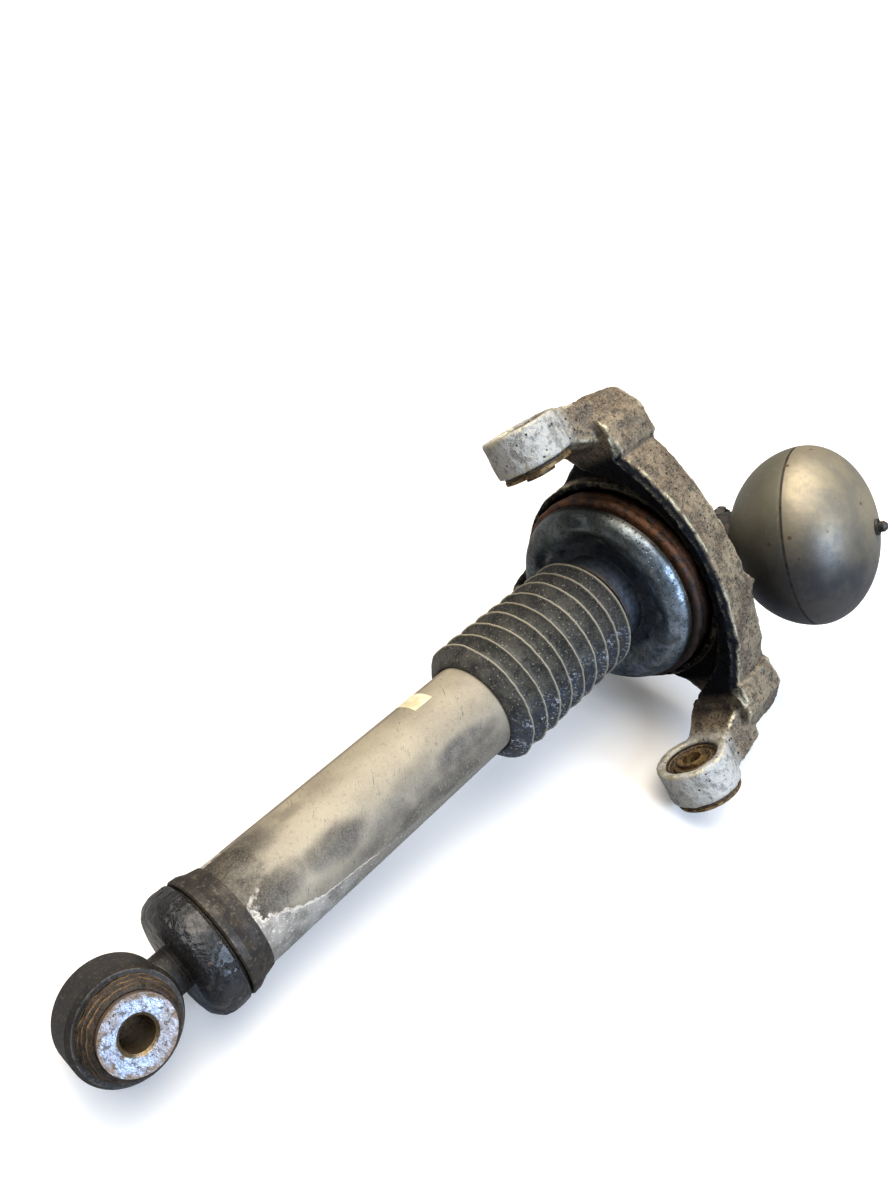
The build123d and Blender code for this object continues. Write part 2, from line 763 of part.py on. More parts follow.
with BuildPart() as upper_bracket:
    # roof over the isolator, with shoulders that reach the corner pads
    with BuildSketch(Plane.XY.offset(roof_bottom)):
        Circle(housing_radius)
        with BuildLine():
            edge_y = arc_y(front_radius, front_y, wall_half_length)
            ThreePointArc((-wall_half_length, edge_y), (0, front_y), (wall_half_length, edge_y))
            Polyline(
                (wall_half_length, edge_y), (104, -18), (84, -8), (66, 22), (-66, 22), (-84, -8),
                (-104, -18), (-wall_half_length, edge_y),
            )
        make_face()
        Circle(roof_hole_radius, mode=Mode.SUBTRACT)
    extrude(amount=roof_top - roof_bottom)
    # front wall: an arch in plan, thicker towards its ends, with an arched lower edge
    with BuildSketch(Plane.XY.offset(wall_bottom)):
        with BuildLine():
            inner_end = 66.0
            inner_edge_y = arc_y(wall_inner_radius, wall_inner_y, inner_end)
            ThreePointArc((-wall_half_length, edge_y), (0, front_y), (wall_half_length, edge_y))
            Line((wall_half_length, edge_y), (98, -26))
            Line((98, -26), (82, -30))
            Line((82, -30), (inner_end, inner_edge_y))
            ThreePointArc((inner_end, inner_edge_y), (0, wall_inner_y), (-inner_end, inner_edge_y))
            Line((-inner_end, inner_edge_y), (-82, -30))
            Line((-82, -30), (-98, -26))
            Line((-98, -26), (-wall_half_length, edge_y))
        make_face()
    extrude(amount=body_face - 2 - wall_bottom)
    with BuildSketch(Plane.XZ.offset(100)):
        with BuildLine():
            ThreePointArc((-84, wall_bottom - 1), (0, 370), (84, wall_bottom - 1))
            Line((84, wall_bottom - 1), (-84, wall_bottom - 1))
        make_face()
    extrude(amount=-75, mode=Mode.SUBTRACT)
    # skirt of the housing behind the isolator
    with BuildSketch(Plane.XY.offset(374)):
        Circle(housing_radius)
        Circle(isolator_radius + 1.5, mode=Mode.SUBTRACT)
    extrude(amount=roof_bottom - 374)
    # corner pads, arms and pivot eyes
    for side in (-1, 1):
        with BuildSketch(Plane.XY.offset(pad_bottom)):
            with BuildLine():
                Polyline(
                    (side * 80, -62), (side * 99, -62), (side * 115, -49), (side * 117, -22),
                    (side * 98, -14), (side * 84, -28), close=True,
                )
            make_face()
        extrude(amount=body_face - pad_bottom)
        with BuildSketch(Plane.XY.offset(pad_bottom + 8)):
            with Locations((side * 102.5, -37)):
                Rectangle(29, 38)
        with BuildSketch(Plane.XY.offset(arm_foot)):
            with Locations((side * ear_reach, ear_y)):
                Rectangle(2 * ear_half_width - 1, 28)
        loft()
        with BuildSketch(Plane.YZ.offset(side * ear_reach - ear_half_width)):
            with Locations((ear_y, ear_z)):
                Circle(ear_radius)
        extrude(amount=2 * ear_half_width)
    # rear lug and the three machined bosses that meet the car's body
    with BuildSketch(Plane.XY.offset(roof_bottom)):
        with BuildLine():
            Polyline((-34, 60), (-14, 106), (14, 106), (34, 60), close=True)
        make_face()
        with Locations((0, body_bolt_circle)):
            Circle(15)
    extrude(amount=roof_top - roof_bottom)
    with BuildSketch(Plane.XY.offset(roof_bottom - 4)):
        with PolarLocations(body_bolt_circle, 3, start_angle=90):
            Circle(12)
    extrude(amount=body_face - roof_bottom + 4)
    with BuildSketch(Plane.XY.offset(body_face - body_thread_depth)):
        with PolarLocations(body_bolt_circle, 3, start_angle=90):
            Circle(body_thread_radius)
    extrude(amount=body_thread_depth, mode=Mode.SUBTRACT)
    # ribs beside the roof hole and a small tab on the wall's top edge
    with BuildSketch(Plane.XY.offset(roof_top)):
        with PolarLocations(58, 5, start_angle=18):
            Rectangle(22, 5)
    extrude(amount=4)
    with BuildSketch(Plane.XZ.offset(72)):
        with BuildLine():
            Polyline((16, 398), (34, 398), (29, 406.5), close=True)
        make_face()
    extrude(amount=3)
    # bores and room for the pivot bushes' flanges
    for side in (-1, 1):
        inner_face = side * ear_reach - ear_half_width
        with BuildSketch(Plane.YZ.offset(inner_face - 1)):
            with Locations((ear_y, ear_z)):
                Circle(ear_bore_radius)
        extrude(amount=2 * ear_half_width + 2, mode=Mode.SUBTRACT)
        with BuildSketch(Plane.YZ.offset(inner_face + 2 * ear_half_width)):
            with Locations((ear_y, ear_z)):
                Circle(ear_radius + 1)
        extrude(amount=10, mode=Mode.SUBTRACT)
save(upper_bracket, "upper_bracket")

# ---- Pivot bushes -------------------------------------------------------------------------------

pivot_shell_inner = 15.6
pivot_sleeve_radius = 9.0
pivot_flange_radius = 20.5
pivot_axis = Axis((0, ear_y, ear_z), (1, 0, 0))

for side_name, side in (("left", -1), ("right", 1)):
    near_face = side * ear_reach - ear_half_width
    far_face = side * ear_reach + ear_half_width
    # In this plane local X runs along the pivot axis and local Y is the radius.
    pivot_plane = Plane(origin=(0, ear_y, ear_z), x_dir=(1, 0, 0), z_dir=(0, -1, 0))

    with BuildPart() as pivot_shell:
        with BuildSketch(pivot_plane):
            with Locations((near_face + 2, pivot_shell_inner)):
                Rectangle(
                    far_face - near_face - 2, ear_bore_radius - pivot_shell_inner,
                    align=(Align.MIN, Align.MIN),
                )
        revolve(axis=pivot_axis)
    save(pivot_shell, f"{side_name}_pivot_shell")

    with BuildPart() as pivot_rubber:
        rubber_bore = pivot_sleeve_radius + running_gap
        with BuildSketch(pivot_plane):
            with BuildLine():
                Polyline(
                    (near_face + 4, rubber_bore), (near_face + 3, 12), (near_face + 5, 14),
                    (near_face + 3, pivot_shell_inner), (far_face, pivot_shell_inner),
                    (far_face, pivot_flange_radius - 0.5),
                    (far_face + 2, pivot_flange_radius - 0.5),
                    (far_face + 2, rubber_bore), close=True,
                )
            make_face()
        revolve(axis=pivot_axis)
    save(pivot_rubber, f"{side_name}_pivot_rubber")

    with BuildPart() as pivot_sleeve:
        flange_start = far_face + 2 + body_gap
        flange_end = flange_start + 1.8
        sleeve_start, sleeve_end = near_face + 1.5, flange_end + 3.2
        with BuildSketch(pivot_plane):
            with BuildLine():
                Polyline(
                    (sleeve_start, pivot_bolt_radius), (sleeve_start, pivot_sleeve_radius),
                    (flange_start, pivot_sleeve_radius), (flange_start, pivot_flange_radius),
                    (flange_end, pivot_flange_radius), (flange_end, pivot_sleeve_radius),
                    (sleeve_end, pivot_sleeve_radius), (sleeve_end, pivot_bolt_radius),
                    close=True,
                )
            make_face()
        revolve(axis=pivot_axis)
    save(pivot_sleeve, f"{side_name}_pivot_sleeve")
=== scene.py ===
# %% [markdown]
# # A hydropneumatic suspension strut
# The real object is an oily, road-worn strut taken off a car: a grey aluminium cylinder with a
# rubber eye at its lower end, a pleated bellows, a plated cup on an orange-brown rubber ring, a
# rough cast bracket with two pivot eyes, and a satin grey gas sphere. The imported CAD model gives
# every place and size. This notebook keeps the CAD pieces whose shape is right and gives them
# better finishes, and makes new skins for the pieces that are moulded, pressed or cast.

# %% Load the frame
import math

import bpy
import numpy as np
from mathutils import Matrix, Vector


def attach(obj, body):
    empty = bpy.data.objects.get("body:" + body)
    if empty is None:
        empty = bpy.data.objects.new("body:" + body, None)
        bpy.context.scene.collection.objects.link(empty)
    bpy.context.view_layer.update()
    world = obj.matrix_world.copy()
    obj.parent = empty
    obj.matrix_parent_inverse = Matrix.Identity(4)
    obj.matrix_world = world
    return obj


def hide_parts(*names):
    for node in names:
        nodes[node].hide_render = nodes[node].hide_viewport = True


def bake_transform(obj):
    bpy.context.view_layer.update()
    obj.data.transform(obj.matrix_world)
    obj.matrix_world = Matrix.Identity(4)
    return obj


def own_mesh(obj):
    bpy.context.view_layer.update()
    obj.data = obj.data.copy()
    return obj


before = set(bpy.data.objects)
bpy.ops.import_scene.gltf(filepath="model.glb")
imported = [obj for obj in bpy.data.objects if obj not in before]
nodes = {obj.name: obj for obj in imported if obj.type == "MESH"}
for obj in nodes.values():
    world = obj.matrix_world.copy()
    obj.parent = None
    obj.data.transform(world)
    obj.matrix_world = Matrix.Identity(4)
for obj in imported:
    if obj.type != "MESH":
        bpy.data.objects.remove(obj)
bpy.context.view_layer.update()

MM = 0.001
print("loaded", len(nodes), "CAD nodes")

# %% [markdown]
# ## Camera
# The strut lies on its side, so in its own upright frame the camera looks up along it from below
# the lower eye. A camera's axes are given as three directions: right, up and back. A wide 27 mm
# lens close by gives the strong foreshortening.

# %% Camera
camera_place = Vector((-0.154458, -0.411944, -0.030069))
camera_right = Vector((0.48514, -0.56649, 0.66612))
camera_up = Vector((-0.85423, -0.14423, 0.49948))
camera_back = camera_right.cross(camera_up)
camera_data = bpy.data.cameras.new("camera")
camera_data.lens = 27.0
camera_data.sensor_width = 36.0
camera_data.clip_start = 0.01
camera = bpy.data.objects.new("camera", camera_data)
turn = Matrix((camera_right, camera_up, camera_back)).transposed().to_4x4()
camera.matrix_world = Matrix.Translation(camera_place) @ turn
bpy.context.scene.collection.objects.link(camera)
bpy.context.scene.camera = camera
bpy.context.scene.view_settings.view_transform = "Standard"
print("camera looks along", [round(-x, 3) for x in camera_back])

# %% [markdown]
# ## Helpers for shader trees
# A finish is a small network of shader nodes. `place` puts one node down and fills its inputs,
# `shade` turns a paint-card colour into the linear numbers that the renderer wants, and `cover`
# lays one colour or number over another through a mask, the way coats of paint and dirt lie.

# %% Shader helpers
def place(tree, kind, inputs=None, **settings):
    """Put a shader node in the tree; an input may be a number, a colour or another output."""
    made = tree.nodes.new("ShaderNode" + kind)
    for setting, value in settings.items():
        setattr(made, setting, value)
    for socket, value in (inputs or {}).items():
        feed(tree, made.inputs[socket], value)
    return made


def feed(tree, socket, value):
    """Link an output to a socket, or set the socket's own value."""
    if isinstance(value, bpy.types.NodeSocket):
        tree.links.new(value, socket)
    else:
        socket.default_value = value


def shade(red, green, blue_light_tint):
    """A colour on a 0 to 255 paint card, as linear light."""
    card = np.array([red, green, blue_light_tint]) / 255
    linear = np.where(card <= 0.04045, card / 12.92, ((card + 0.055) / 1.055) ** 2.4)
    return (*linear.tolist(), 1.0)


def cover(tree, under, over, mask, share=None):
    """The colour `over` laid on the colour `under` where the mask is 1; a share thins the mask."""
    if share is not None:
        mask = work(tree, "MULTIPLY", mask, share)
    mix = place(tree, "Mix", data_type="RGBA")
    feed(tree, mix.inputs[0], mask)
    feed(tree, mix.inputs[6], under)
    feed(tree, mix.inputs[7], over)
    return mix.outputs[2]


def level(tree, under, over, mask):
    """The number `over` in place of the number `under` where the mask is 1."""
    mix = place(tree, "Mix", data_type="FLOAT")
    feed(tree, mix.inputs[0], mask)
    feed(tree, mix.inputs[2], under)
    feed(tree, mix.inputs[3], over)
    return mix.outputs[0]


def work(tree, operation, *values):
    """One step of arithmetic on outputs or numbers."""
    step = place(tree, "Math", operation=operation)
    for socket, value in zip(step.inputs, values):
        feed(tree, socket, value)
    return step.outputs[0]


def ramp(tree, value, low, high, start=0.0, end=1.0):
    """Runs smoothly from start to end as the value goes from low to high."""
    inputs = {"Value": value, "From Min": low, "From Max": high, "To Min": start, "To Max": end}
    step = place(tree, "MapRange", inputs, interpolation_type="SMOOTHSTEP")
    return step.outputs["Result"]


# %% [markdown]
# ## Effects shared by the finishes
# Several finishes need the same effects: soft blotches of dirt, grains of grit, worn edges,
# scratches and a rough skin. Each is a node group built once, with its sizes in millimetres, and
# puts out a mask or a height that the finish uses in its own way.

# %% Group builder
def new_group(title, inputs, output):
    """An empty node group with number inputs, a Vector input, and one number output."""
    group = bpy.data.node_groups.new(title, "ShaderNodeTree")
    vector = group.interface.new_socket("Vector", in_out="INPUT", socket_type="NodeSocketVector")
    vector.hide_value = True
    for label, value in inputs.items():
        socket = group.interface.new_socket(label, in_out="INPUT", socket_type="NodeSocketFloat")
        socket.default_value = value
    group.interface.new_socket(output, in_out="OUTPUT", socket_type="NodeSocketFloat")
    source = group.nodes.new("NodeGroupInput").outputs
    result = group.nodes.new("NodeGroupOutput").inputs[0]
    return group, source, result


def use(tree, group, where, **inputs):
    """Place a shared effect at the coordinates `where`, and return its output."""
    made = tree.nodes.new("ShaderNodeGroup")
    made.node_tree = group
    feed(tree, made.inputs["Vector"], where)
    for label, value in inputs.items():
        feed(tree, made.inputs[label], value)
    return made.outputs[0]


# %% Blotches: a soft cloud, cut between two levels
def build_blotches():
    """Cloud noise of the given size, remapped from Low to High; Broken sets how ragged it is."""
    inputs = {"Size": 10, "Low": 0.45, "High": 0.6, "Broken": 0.62}
    group, source, result = new_group("blotches", inputs, "Mask")
    scale = work(group, "DIVIDE", 1000.0, source["Size"])
    inputs = {"Vector": source["Vector"], "Scale": scale, "Detail": 5.0, "Roughness": source["Broken"]}
    cloud = place(group, "TexNoise", inputs)
    mask = ramp(group, cloud.outputs["Fac"], source["Low"], source["High"])
    group.links.new(mask, result)
    return group


blotches = build_blotches()


# %% Specks: round grains at random places, only some of the cells filled
def build_specks():
    """Cells of the given size; a share of them, Cover, holds a grain of relative size Grain."""
    group, source, result = new_group("specks", {"Size": 1, "Grain": 0.3, "Cover": 0.3}, "Mask")
    scale = work(group, "DIVIDE", 1000.0, source["Size"])
    cells = place(group, "TexVoronoi", {"Vector": source["Vector"], "Scale": scale})
    chance = place(group, "SeparateColor", {"Color": cells.outputs["Color"]})
    filled = work(group, "LESS_THAN", chance.outputs[0], source["Cover"])
    size = work(group, "MULTIPLY", source["Grain"], ramp(group, chance.outputs[1], 0, 1, 0.4, 1.0))
    near = ramp(group, cells.outputs["Distance"], size, work(group, "MULTIPLY", size, 0.6))
    group.links.new(work(group, "MULTIPLY", filled, near), result)
    return group


specks = build_specks()


# %% Worn edges: where a rounded normal differs from the true one, broken up by noise
def build_worn_edges():
    """A mask near edges: one minus the dot product of the bevelled and the true normal."""
    group, source, result = new_group("worn_edges", {"Width": 1, "Gain": 8, "Break": 3}, "Mask")
    reach = work(group, "MULTIPLY", source["Width"], MM)
    rounded = place(group, "Bevel", {"Radius": reach}, samples=4)
    sharp = place(group, "NewGeometry")
    same = place(group, "VectorMath", operation="DOT_PRODUCT")
    group.links.new(rounded.outputs[0], same.inputs[0])
    group.links.new(sharp.outputs["Normal"], same.inputs[1])
    off = work(group, "MULTIPLY", work(group, "SUBTRACT", 1.0, same.outputs["Value"]), source["Gain"])
    scale = work(group, "DIVIDE", 1000.0, source["Break"])
    inputs = {"Vector": source["Vector"], "Scale": scale, "Detail": 4.0}
    ragged = ramp(group, place(group, "TexNoise", inputs).outputs["Fac"], 0.35, 0.6)
    group.links.new(ramp(group, work(group, "MULTIPLY", off, ragged), 0.1, 0.6), result)
    return group


worn_edges = build_worn_edges()


# %% Skin: the fine relief of a casting, of paint or of moulded rubber
def build_skin():
    """A height: coarse lumps plus fine grain, in shares set by Fine."""
    group, source, result = new_group("skin", {"Lump": 4, "Grain": 0.8, "Fine": 0.5}, "Height")
    relief = []
    for label, detail in (("Lump", 3.0), ("Grain", 4.0)):
        scale = work(group, "DIVIDE", 1000.0, source[label])
        inputs = {"Vector": source["Vector"], "Scale": scale, "Detail": detail}
        relief.append(place(group, "TexNoise", inputs).outputs["Fac"])
    height = work(group, "MULTIPLY_ADD", relief[1], source["Fine"], relief[0])
    group.links.new(height, result)
    return group


skin = build_skin()


# %% Scratches: noise drawn out along one direction, thin and rare
def build_scratches():
    """Noise squeezed twenty-fold across the streak, kept only near its middle value."""
    group, source, result = new_group("scratches", {"Size": 8, "Width": 0.02, "Turn": 0.6}, "Mask")
    turned = place(group, "VectorRotate", rotation_type="EULER_XYZ")
    group.links.new(source["Vector"], turned.inputs["Vector"])
    angles = place(group, "CombineXYZ", {"X": source["Turn"], "Y": 0.7, "Z": source["Turn"]})
    group.links.new(angles.outputs[0], turned.inputs["Rotation"])
    drawn = place(group, "VectorMath", operation="MULTIPLY")
    group.links.new(turned.outputs[0], drawn.inputs[0])
    drawn.inputs[1].default_value = (20.0, 1.0, 1.6)
    scale = work(group, "DIVIDE", 1000.0, source["Size"])
    inputs = {"Vector": drawn.outputs[0], "Scale": work(group, "MULTIPLY", scale, 0.2), "Detail": 2.0}
    lines = place(group, "TexNoise", inputs)
    off = work(group, "ABSOLUTE", work(group, "SUBTRACT", lines.outputs["Fac"], 0.5))
    thin = ramp(group, off, source["Width"], 0.0)
    where = place(group, "TexNoise", {"Vector": source["Vector"], "Scale": scale, "Detail": 1.0})
    group.links.new(work(group, "MULTIPLY", thin, ramp(group, where.outputs["Fac"], 0.52, 0.62)), result)
    return group


scratches = build_scratches()
print("shared effects:", [group.name for group in bpy.data.node_groups])


# %% Start and finish of a material
def new_finish(title, **constants):
    """A material: its tree, its Principled shader and the object's own coordinates."""
    material = bpy.data.materials.new(title)
    material.use_nodes = True
    tree = material.node_tree
    shader = tree.nodes["Principled BSDF"]
    for socket, value in constants.items():
        shader.inputs[socket.replace("_", " ")].default_value = value
    where = place(tree, "TexCoord").outputs["Object"]
    return material, tree, shader, where


def settle(tree, shader, colour, roughness, height, depth_mm, metallic=None):
    """Wire the colour, the roughness, the relief and, if given, the metal mask."""
    feed(tree, shader.inputs["Base Color"], colour)
    feed(tree, shader.inputs["Roughness"], roughness)
    if metallic is not None:
        feed(tree, shader.inputs["Metallic"], metallic)
    bump = place(tree, "Bump", {"Height": height, "Distance": depth_mm * MM, "Strength": 1.0})
    feed(tree, shader.inputs["Normal"], bump.outputs[0])


def attribute(tree, title):
    """A mask stored on the piece's own points."""
    return place(tree, "Attribute", attribute_name=title).outputs["Fac"]


def paint(material, *names):
    """Give CAD nodes this finish."""
    for name in names:
        slots = nodes[name].data.materials
        slots.clear()
        slots.append(material)


# %% [markdown]
# ## Cast aluminium
# The bracket is a sand casting that has weathered on the road: a beige-grey skin, mottled brown
# and black with old grease, brighter along its rubbed edges, and cleaner on the two pivot eyes.
# Shade is painted on it too: nearly black in the shelter of its inner wall and on faces turned down,
# and dark in its creases. The masks for edges, painted shade in shelter and in creases, and eyes
# are stored on the casting's points when it is made; the mottling is noise on top.

# %% Cast aluminium
casting_masks = ("worn", "shelter_shade", "eye", "crease_shade")


def make_cast_aluminium():
    material, tree, shader, where = new_finish("cast_aluminium")
    worn, shelter_shade, eye, crease_shade = (attribute(tree, mask) for mask in casting_masks)
    brown = use(tree, blotches, where, Size=26, Low=0.42, High=0.62)
    stain = use(tree, blotches, where, Size=7, Low=0.50, High=0.60)
    black = use(tree, blotches, where, Size=3.2, Low=0.53, High=0.60)
    grain = use(tree, blotches, where, Size=1.1, Low=0.42, High=0.62)
    chips = use(tree, specks, where, Size=2.6, Grain=0.34, Cover=0.30)
    colour = cover(tree, shade(138, 122, 98), shade(84, 68, 52), brown)
    colour = cover(tree, colour, shade(66, 56, 46), stain, 0.75)
    colour = cover(tree, colour, shade(30, 27, 26), black, 0.75)
    colour = cover(tree, colour, shade(186, 174, 148), grain, 0.30)
    clean = cover(tree, shade(208, 207, 200), shade(166, 165, 158), stain)
    clean = cover(tree, clean, shade(96, 92, 84), black, 0.4)
    colour = cover(tree, colour, clean, eye, 0.8)
    # painted shade: the nearly black colour laid where the wall shelters the casting and faces turn down
    dark = cover(tree, shade(19, 21, 26), shade(7, 8, 10), stain)
    colour = cover(tree, colour, dark, shelter_shade)
    colour = cover(tree, colour, shade(22, 20, 19), chips)
    rubbed = work(tree, "MULTIPLY", worn, use(tree, blotches, where, Size=7, Low=0.44, High=0.56))
    rubbed = work(tree, "MULTIPLY", rubbed, level(tree, 1.0, 0.12, shelter_shade))
    # painted shade: concave creases darkened
    colour = cover(tree, colour, shade(26, 23, 21), crease_shade, 0.85)
    colour = cover(tree, colour, shade(214, 204, 172), rubbed)
    roughness = level(tree, level(tree, 0.60, 0.40, stain), 0.34, rubbed)
    # painted shade inside and under the wall, nearly black: a dark metal gives it no grey sheen
    metallic = level(tree, level(tree, 0.25, 0.7, rubbed), 0.9, shelter_shade)
    height = use(tree, skin, where, Lump=3.2, Grain=0.9, Fine=0.6)
    height = work(tree, "SUBTRACT", height, work(tree, "MULTIPLY", chips, 0.5))
    settle(tree, shader, colour, roughness, height, 0.9, metallic)
    return material


cast_aluminium = make_cast_aluminium()

# %% [markdown]
# ## The cylinder's aluminium
# The tube is bare drawn aluminium under road dirt. Along its length run soft dark stains, the
# lower end is brown-black, and on the side that faced the wheel a skin of dirt has peeled off
# along a jagged pale line that climbs from the collar. The line is drawn on the unrolled tube:
# a curve gives its height for each angle, and noise makes it ragged.

# %% The angle and height on the tube
def unrolled(tree, where):
    """Object coordinates as an angle around Z in degrees and a height in millimetres."""
    split = place(tree, "SeparateXYZ", {"Vector": where})
    angle = work(tree, "DEGREES", work(tree, "ARCTAN2", split.outputs["Y"], split.outputs["X"]))
    return angle, work(tree, "DIVIDE", split.outputs["Z"], MM)


# %% Cylinder aluminium
peel_top_mm = 250.0
peel_line = ((-140, 64), (-116, 65), (-104, 60), (-90, 65), (-80, 72), (-72, 82), (-65, 92),
             (-61, 108), (-56, 124), (-50, 160), (-44, 205), (-30, 225), (60, 232), (110, 190),
             (135, 130), (155, 84), (168, 68))

# each stain: angle, height, half-width in degrees, half-height in millimetres, strength
tube_stains = ((-104, 78, 15, 13, 0.95), (-98, 112, 17, 16, 0.9), (-158, 104, 8, 8, 0.5),
               (-162, 78, 20, 22, 0.8), (-86, 195, 13, 22, 0.9), (-80, 140, 16, 16, 0.55),
               (-92, 164, 16, 14, 0.5), (-64, 176, 12, 34, 0.7), (-140, 66, 30, 12, 0.7),
               (-70, 128, 9, 20, 0.5), (60, 120, 40, 30, 0.6), (120, 170, 26, 34, 0.5),
               (10, 90, 30, 24, 0.5))


def make_tube_aluminium():
    material, tree, shader, where = new_finish("tube_aluminium")
    angle, height_mm = unrolled(tree, where)
    wide = use(tree, blotches, where, Size=40, Low=0.42, High=0.66, Broken=0.4)
    haze = use(tree, blotches, where, Size=9, Low=0.35, High=0.7, Broken=0.5)
    cloud = use(tree, blotches, where, Size=14, Low=0.30, High=0.72, Broken=0.3)
    fleck = use(tree, blotches, where, Size=2.4, Low=0.56, High=0.66)
    grain = use(tree, blotches, where, Size=0.8, Low=0.4, High=0.66)
    wander = work(tree, "SUBTRACT", cloud, 0.5)
    colour = cover(tree, shade(168, 157, 134), shade(142, 132, 114), wide)
    # painted shade: the side from -60 degrees on, turned away from the lamps, is painted darker
    colour = cover(tree, colour, shade(108, 98, 86), ramp(tree, angle, -105.0, -60.0), 0.6)
    soiled = 0.0
    for degrees, height, half_angle, half_height, strength in tube_stains:
        aside = work(tree, "DIVIDE", work(tree, "SUBTRACT", angle, degrees), half_angle)
        above = work(tree, "DIVIDE", work(tree, "SUBTRACT", height_mm, height), half_height)
        squared = work(tree, "MULTIPLY_ADD", aside, aside, work(tree, "MULTIPLY", above, above))
        spot = ramp(tree, work(tree, "ADD", squared, wander), 2.2, 0.0, 0.0, strength)
        soiled = work(tree, "MAXIMUM", soiled, spot)
    colour = cover(tree, colour, shade(58, 52, 47), soiled)
    colour = cover(tree, colour, shade(96, 88, 76), fleck, 0.35)
    colour = cover(tree, colour, shade(180, 170, 146), haze, 0.2)
    # the peeled side: height of the line for each angle, through a curve from 0 to 1
    share = work(tree, "DIVIDE", work(tree, "ADD", angle, 180.0), 360.0)
    line = place(tree, "FloatCurve", {"Value": share})
    curve = line.mapping.curves[0]
    for degrees, height in peel_line:
        curve.points.new((degrees + 180) / 360, height / peel_top_mm)
    curve.points[0].location = (0.0, 0.26)
    curve.points[-1].location = (1.0, 0.26)
    line.mapping.update()
    ragged = use(tree, blotches, where, Size=5, Low=0.3, High=0.7)
    line_mm = work(tree, "MULTIPLY_ADD", line.outputs[0], peel_top_mm, work(tree, "MULTIPLY", ragged, 6.0))
    below = work(tree, "SUBTRACT", line_mm, height_mm)
    peeled = work(tree, "MULTIPLY", ramp(tree, below, 0.0, 1.5), ramp(tree, angle, -112.0, -104.0))
    grit = use(tree, blotches, where, Size=1.5, Low=0.54, High=0.60, Broken=0.8)
    bare = cover(tree, shade(178, 170, 158), shade(124, 117, 108), haze)
    bare = cover(tree, bare, shade(236, 230, 216), grit, 0.8)
    fading = ramp(tree, height_mm, 130.0, 96.0, 0.25, 1.0)
    colour = cover(tree, colour, bare, work(tree, "MULTIPLY", peeled, fading))
    near_line = ramp(tree, work(tree, "ABSOLUTE", below), 2.8, 1.3)
    rim = work(tree, "MULTIPLY", near_line, ramp(tree, angle, -120.0, -112.0))
    rim = work(tree, "MULTIPLY", rim, ramp(tree, height_mm, 138.0, 122.0))
    colour = cover(tree, colour, shade(234, 222, 206), rim)
    # grit thrown up along the dirty side, and the brown-black lower end
    side = work(tree, "MULTIPLY", ramp(tree, angle, -78.0, -45.0), ramp(tree, angle, 20.0, -10.0))
    splashed = use(tree, blotches, where, Size=12, Low=0.40, High=0.62)
    thrown = work(tree, "MULTIPLY", work(tree, "MULTIPLY", grit, side), splashed)
    colour = cover(tree, colour, shade(214, 206, 192), thrown)
    edge = work(tree, "MULTIPLY", use(tree, blotches, where, Size=14, Low=0.3, High=0.7), 24.0)
    foot = ramp(tree, work(tree, "SUBTRACT", height_mm, edge), 74.0, 50.0)
    foot = work(tree, "MULTIPLY", foot, level(tree, 1.0, ramp(tree, height_mm, 61.0, 57.0), peeled))
    foot_brown = cover(tree, shade(58, 50, 38), shade(30, 26, 22), haze)
    colour = cover(tree, colour, foot_brown, foot)
    colour = cover(tree, colour, shade(208, 198, 176), grain, 0.14)
    marks = use(tree, scratches, where, Size=9, Width=0.012, Turn=0.7)
    colour = cover(tree, colour, shade(58, 54, 50), marks, 0.7)
    roughness = level(tree, level(tree, 0.58, 0.50, wide), 0.68, foot)
    height = use(tree, skin, where, Lump=6, Grain=1.0, Fine=0.25)
    height = work(tree, "ADD", height, work(tree, "MULTIPLY", rim, 0.5))
    height = work(tree, "ADD", height, work(tree, "MULTIPLY", thrown, 0.8))
    settle(tree, shader, colour, roughness, height, 0.25, level(tree, 0.10, 0.02, foot))
    return material


tube_aluminium = make_tube_aluminium()

# %% [markdown]
# ## Black paint and old grease
# The base cap is thick glossy black, pitted and sticky, so it throws small sharp glints. The eye
# is the same paint gone matt and brown.

# %% Greasy black for the cap
def make_greasy_black():
    material, tree, shader, where = new_finish("greasy_black", Coat_Roughness=0.12)
    oil = use(tree, blotches, where, Size=14, Low=0.42, High=0.60)
    dull = use(tree, blotches, where, Size=3, Low=0.48, High=0.62)
    rust = use(tree, specks, where, Size=3.5, Grain=0.45, Cover=0.12)
    colour = cover(tree, shade(12, 12, 13), shade(26, 24, 22), dull)
    colour = cover(tree, colour, shade(92, 78, 60), rust, 0.8)
    roughness = level(tree, level(tree, 0.20, 0.36, dull), 0.14, oil)
    height = use(tree, skin, where, Lump=2.2, Grain=0.7, Fine=0.9)
    settle(tree, shader, colour, roughness, height, 0.7)
    feed(tree, shader.inputs["Coat Weight"], level(tree, 0.15, 0.7, oil))
    return material


greasy_black = make_greasy_black()


# %% Matt black-brown for the eye
def make_matt_black():
    material, tree, shader, where = new_finish("matt_black")
    brown = use(tree, blotches, where, Size=12, Low=0.42, High=0.62)
    scuff = use(tree, blotches, where, Size=1.6, Low=0.56, High=0.64)
    edge = use(tree, worn_edges, where, Width=0.9, Gain=6, Break=2.5)
    colour = cover(tree, shade(27, 25, 22), shade(42, 36, 28), brown)
    colour = cover(tree, colour, shade(88, 82, 70), scuff, 0.5)
    colour = cover(tree, colour, shade(124, 116, 104), edge, 0.75)
    height = use(tree, skin, where, Lump=5, Grain=0.8, Fine=0.5)
    settle(tree, shader, colour, level(tree, 0.56, 0.42, scuff), height, 0.4)
    return material


matt_black = make_matt_black()


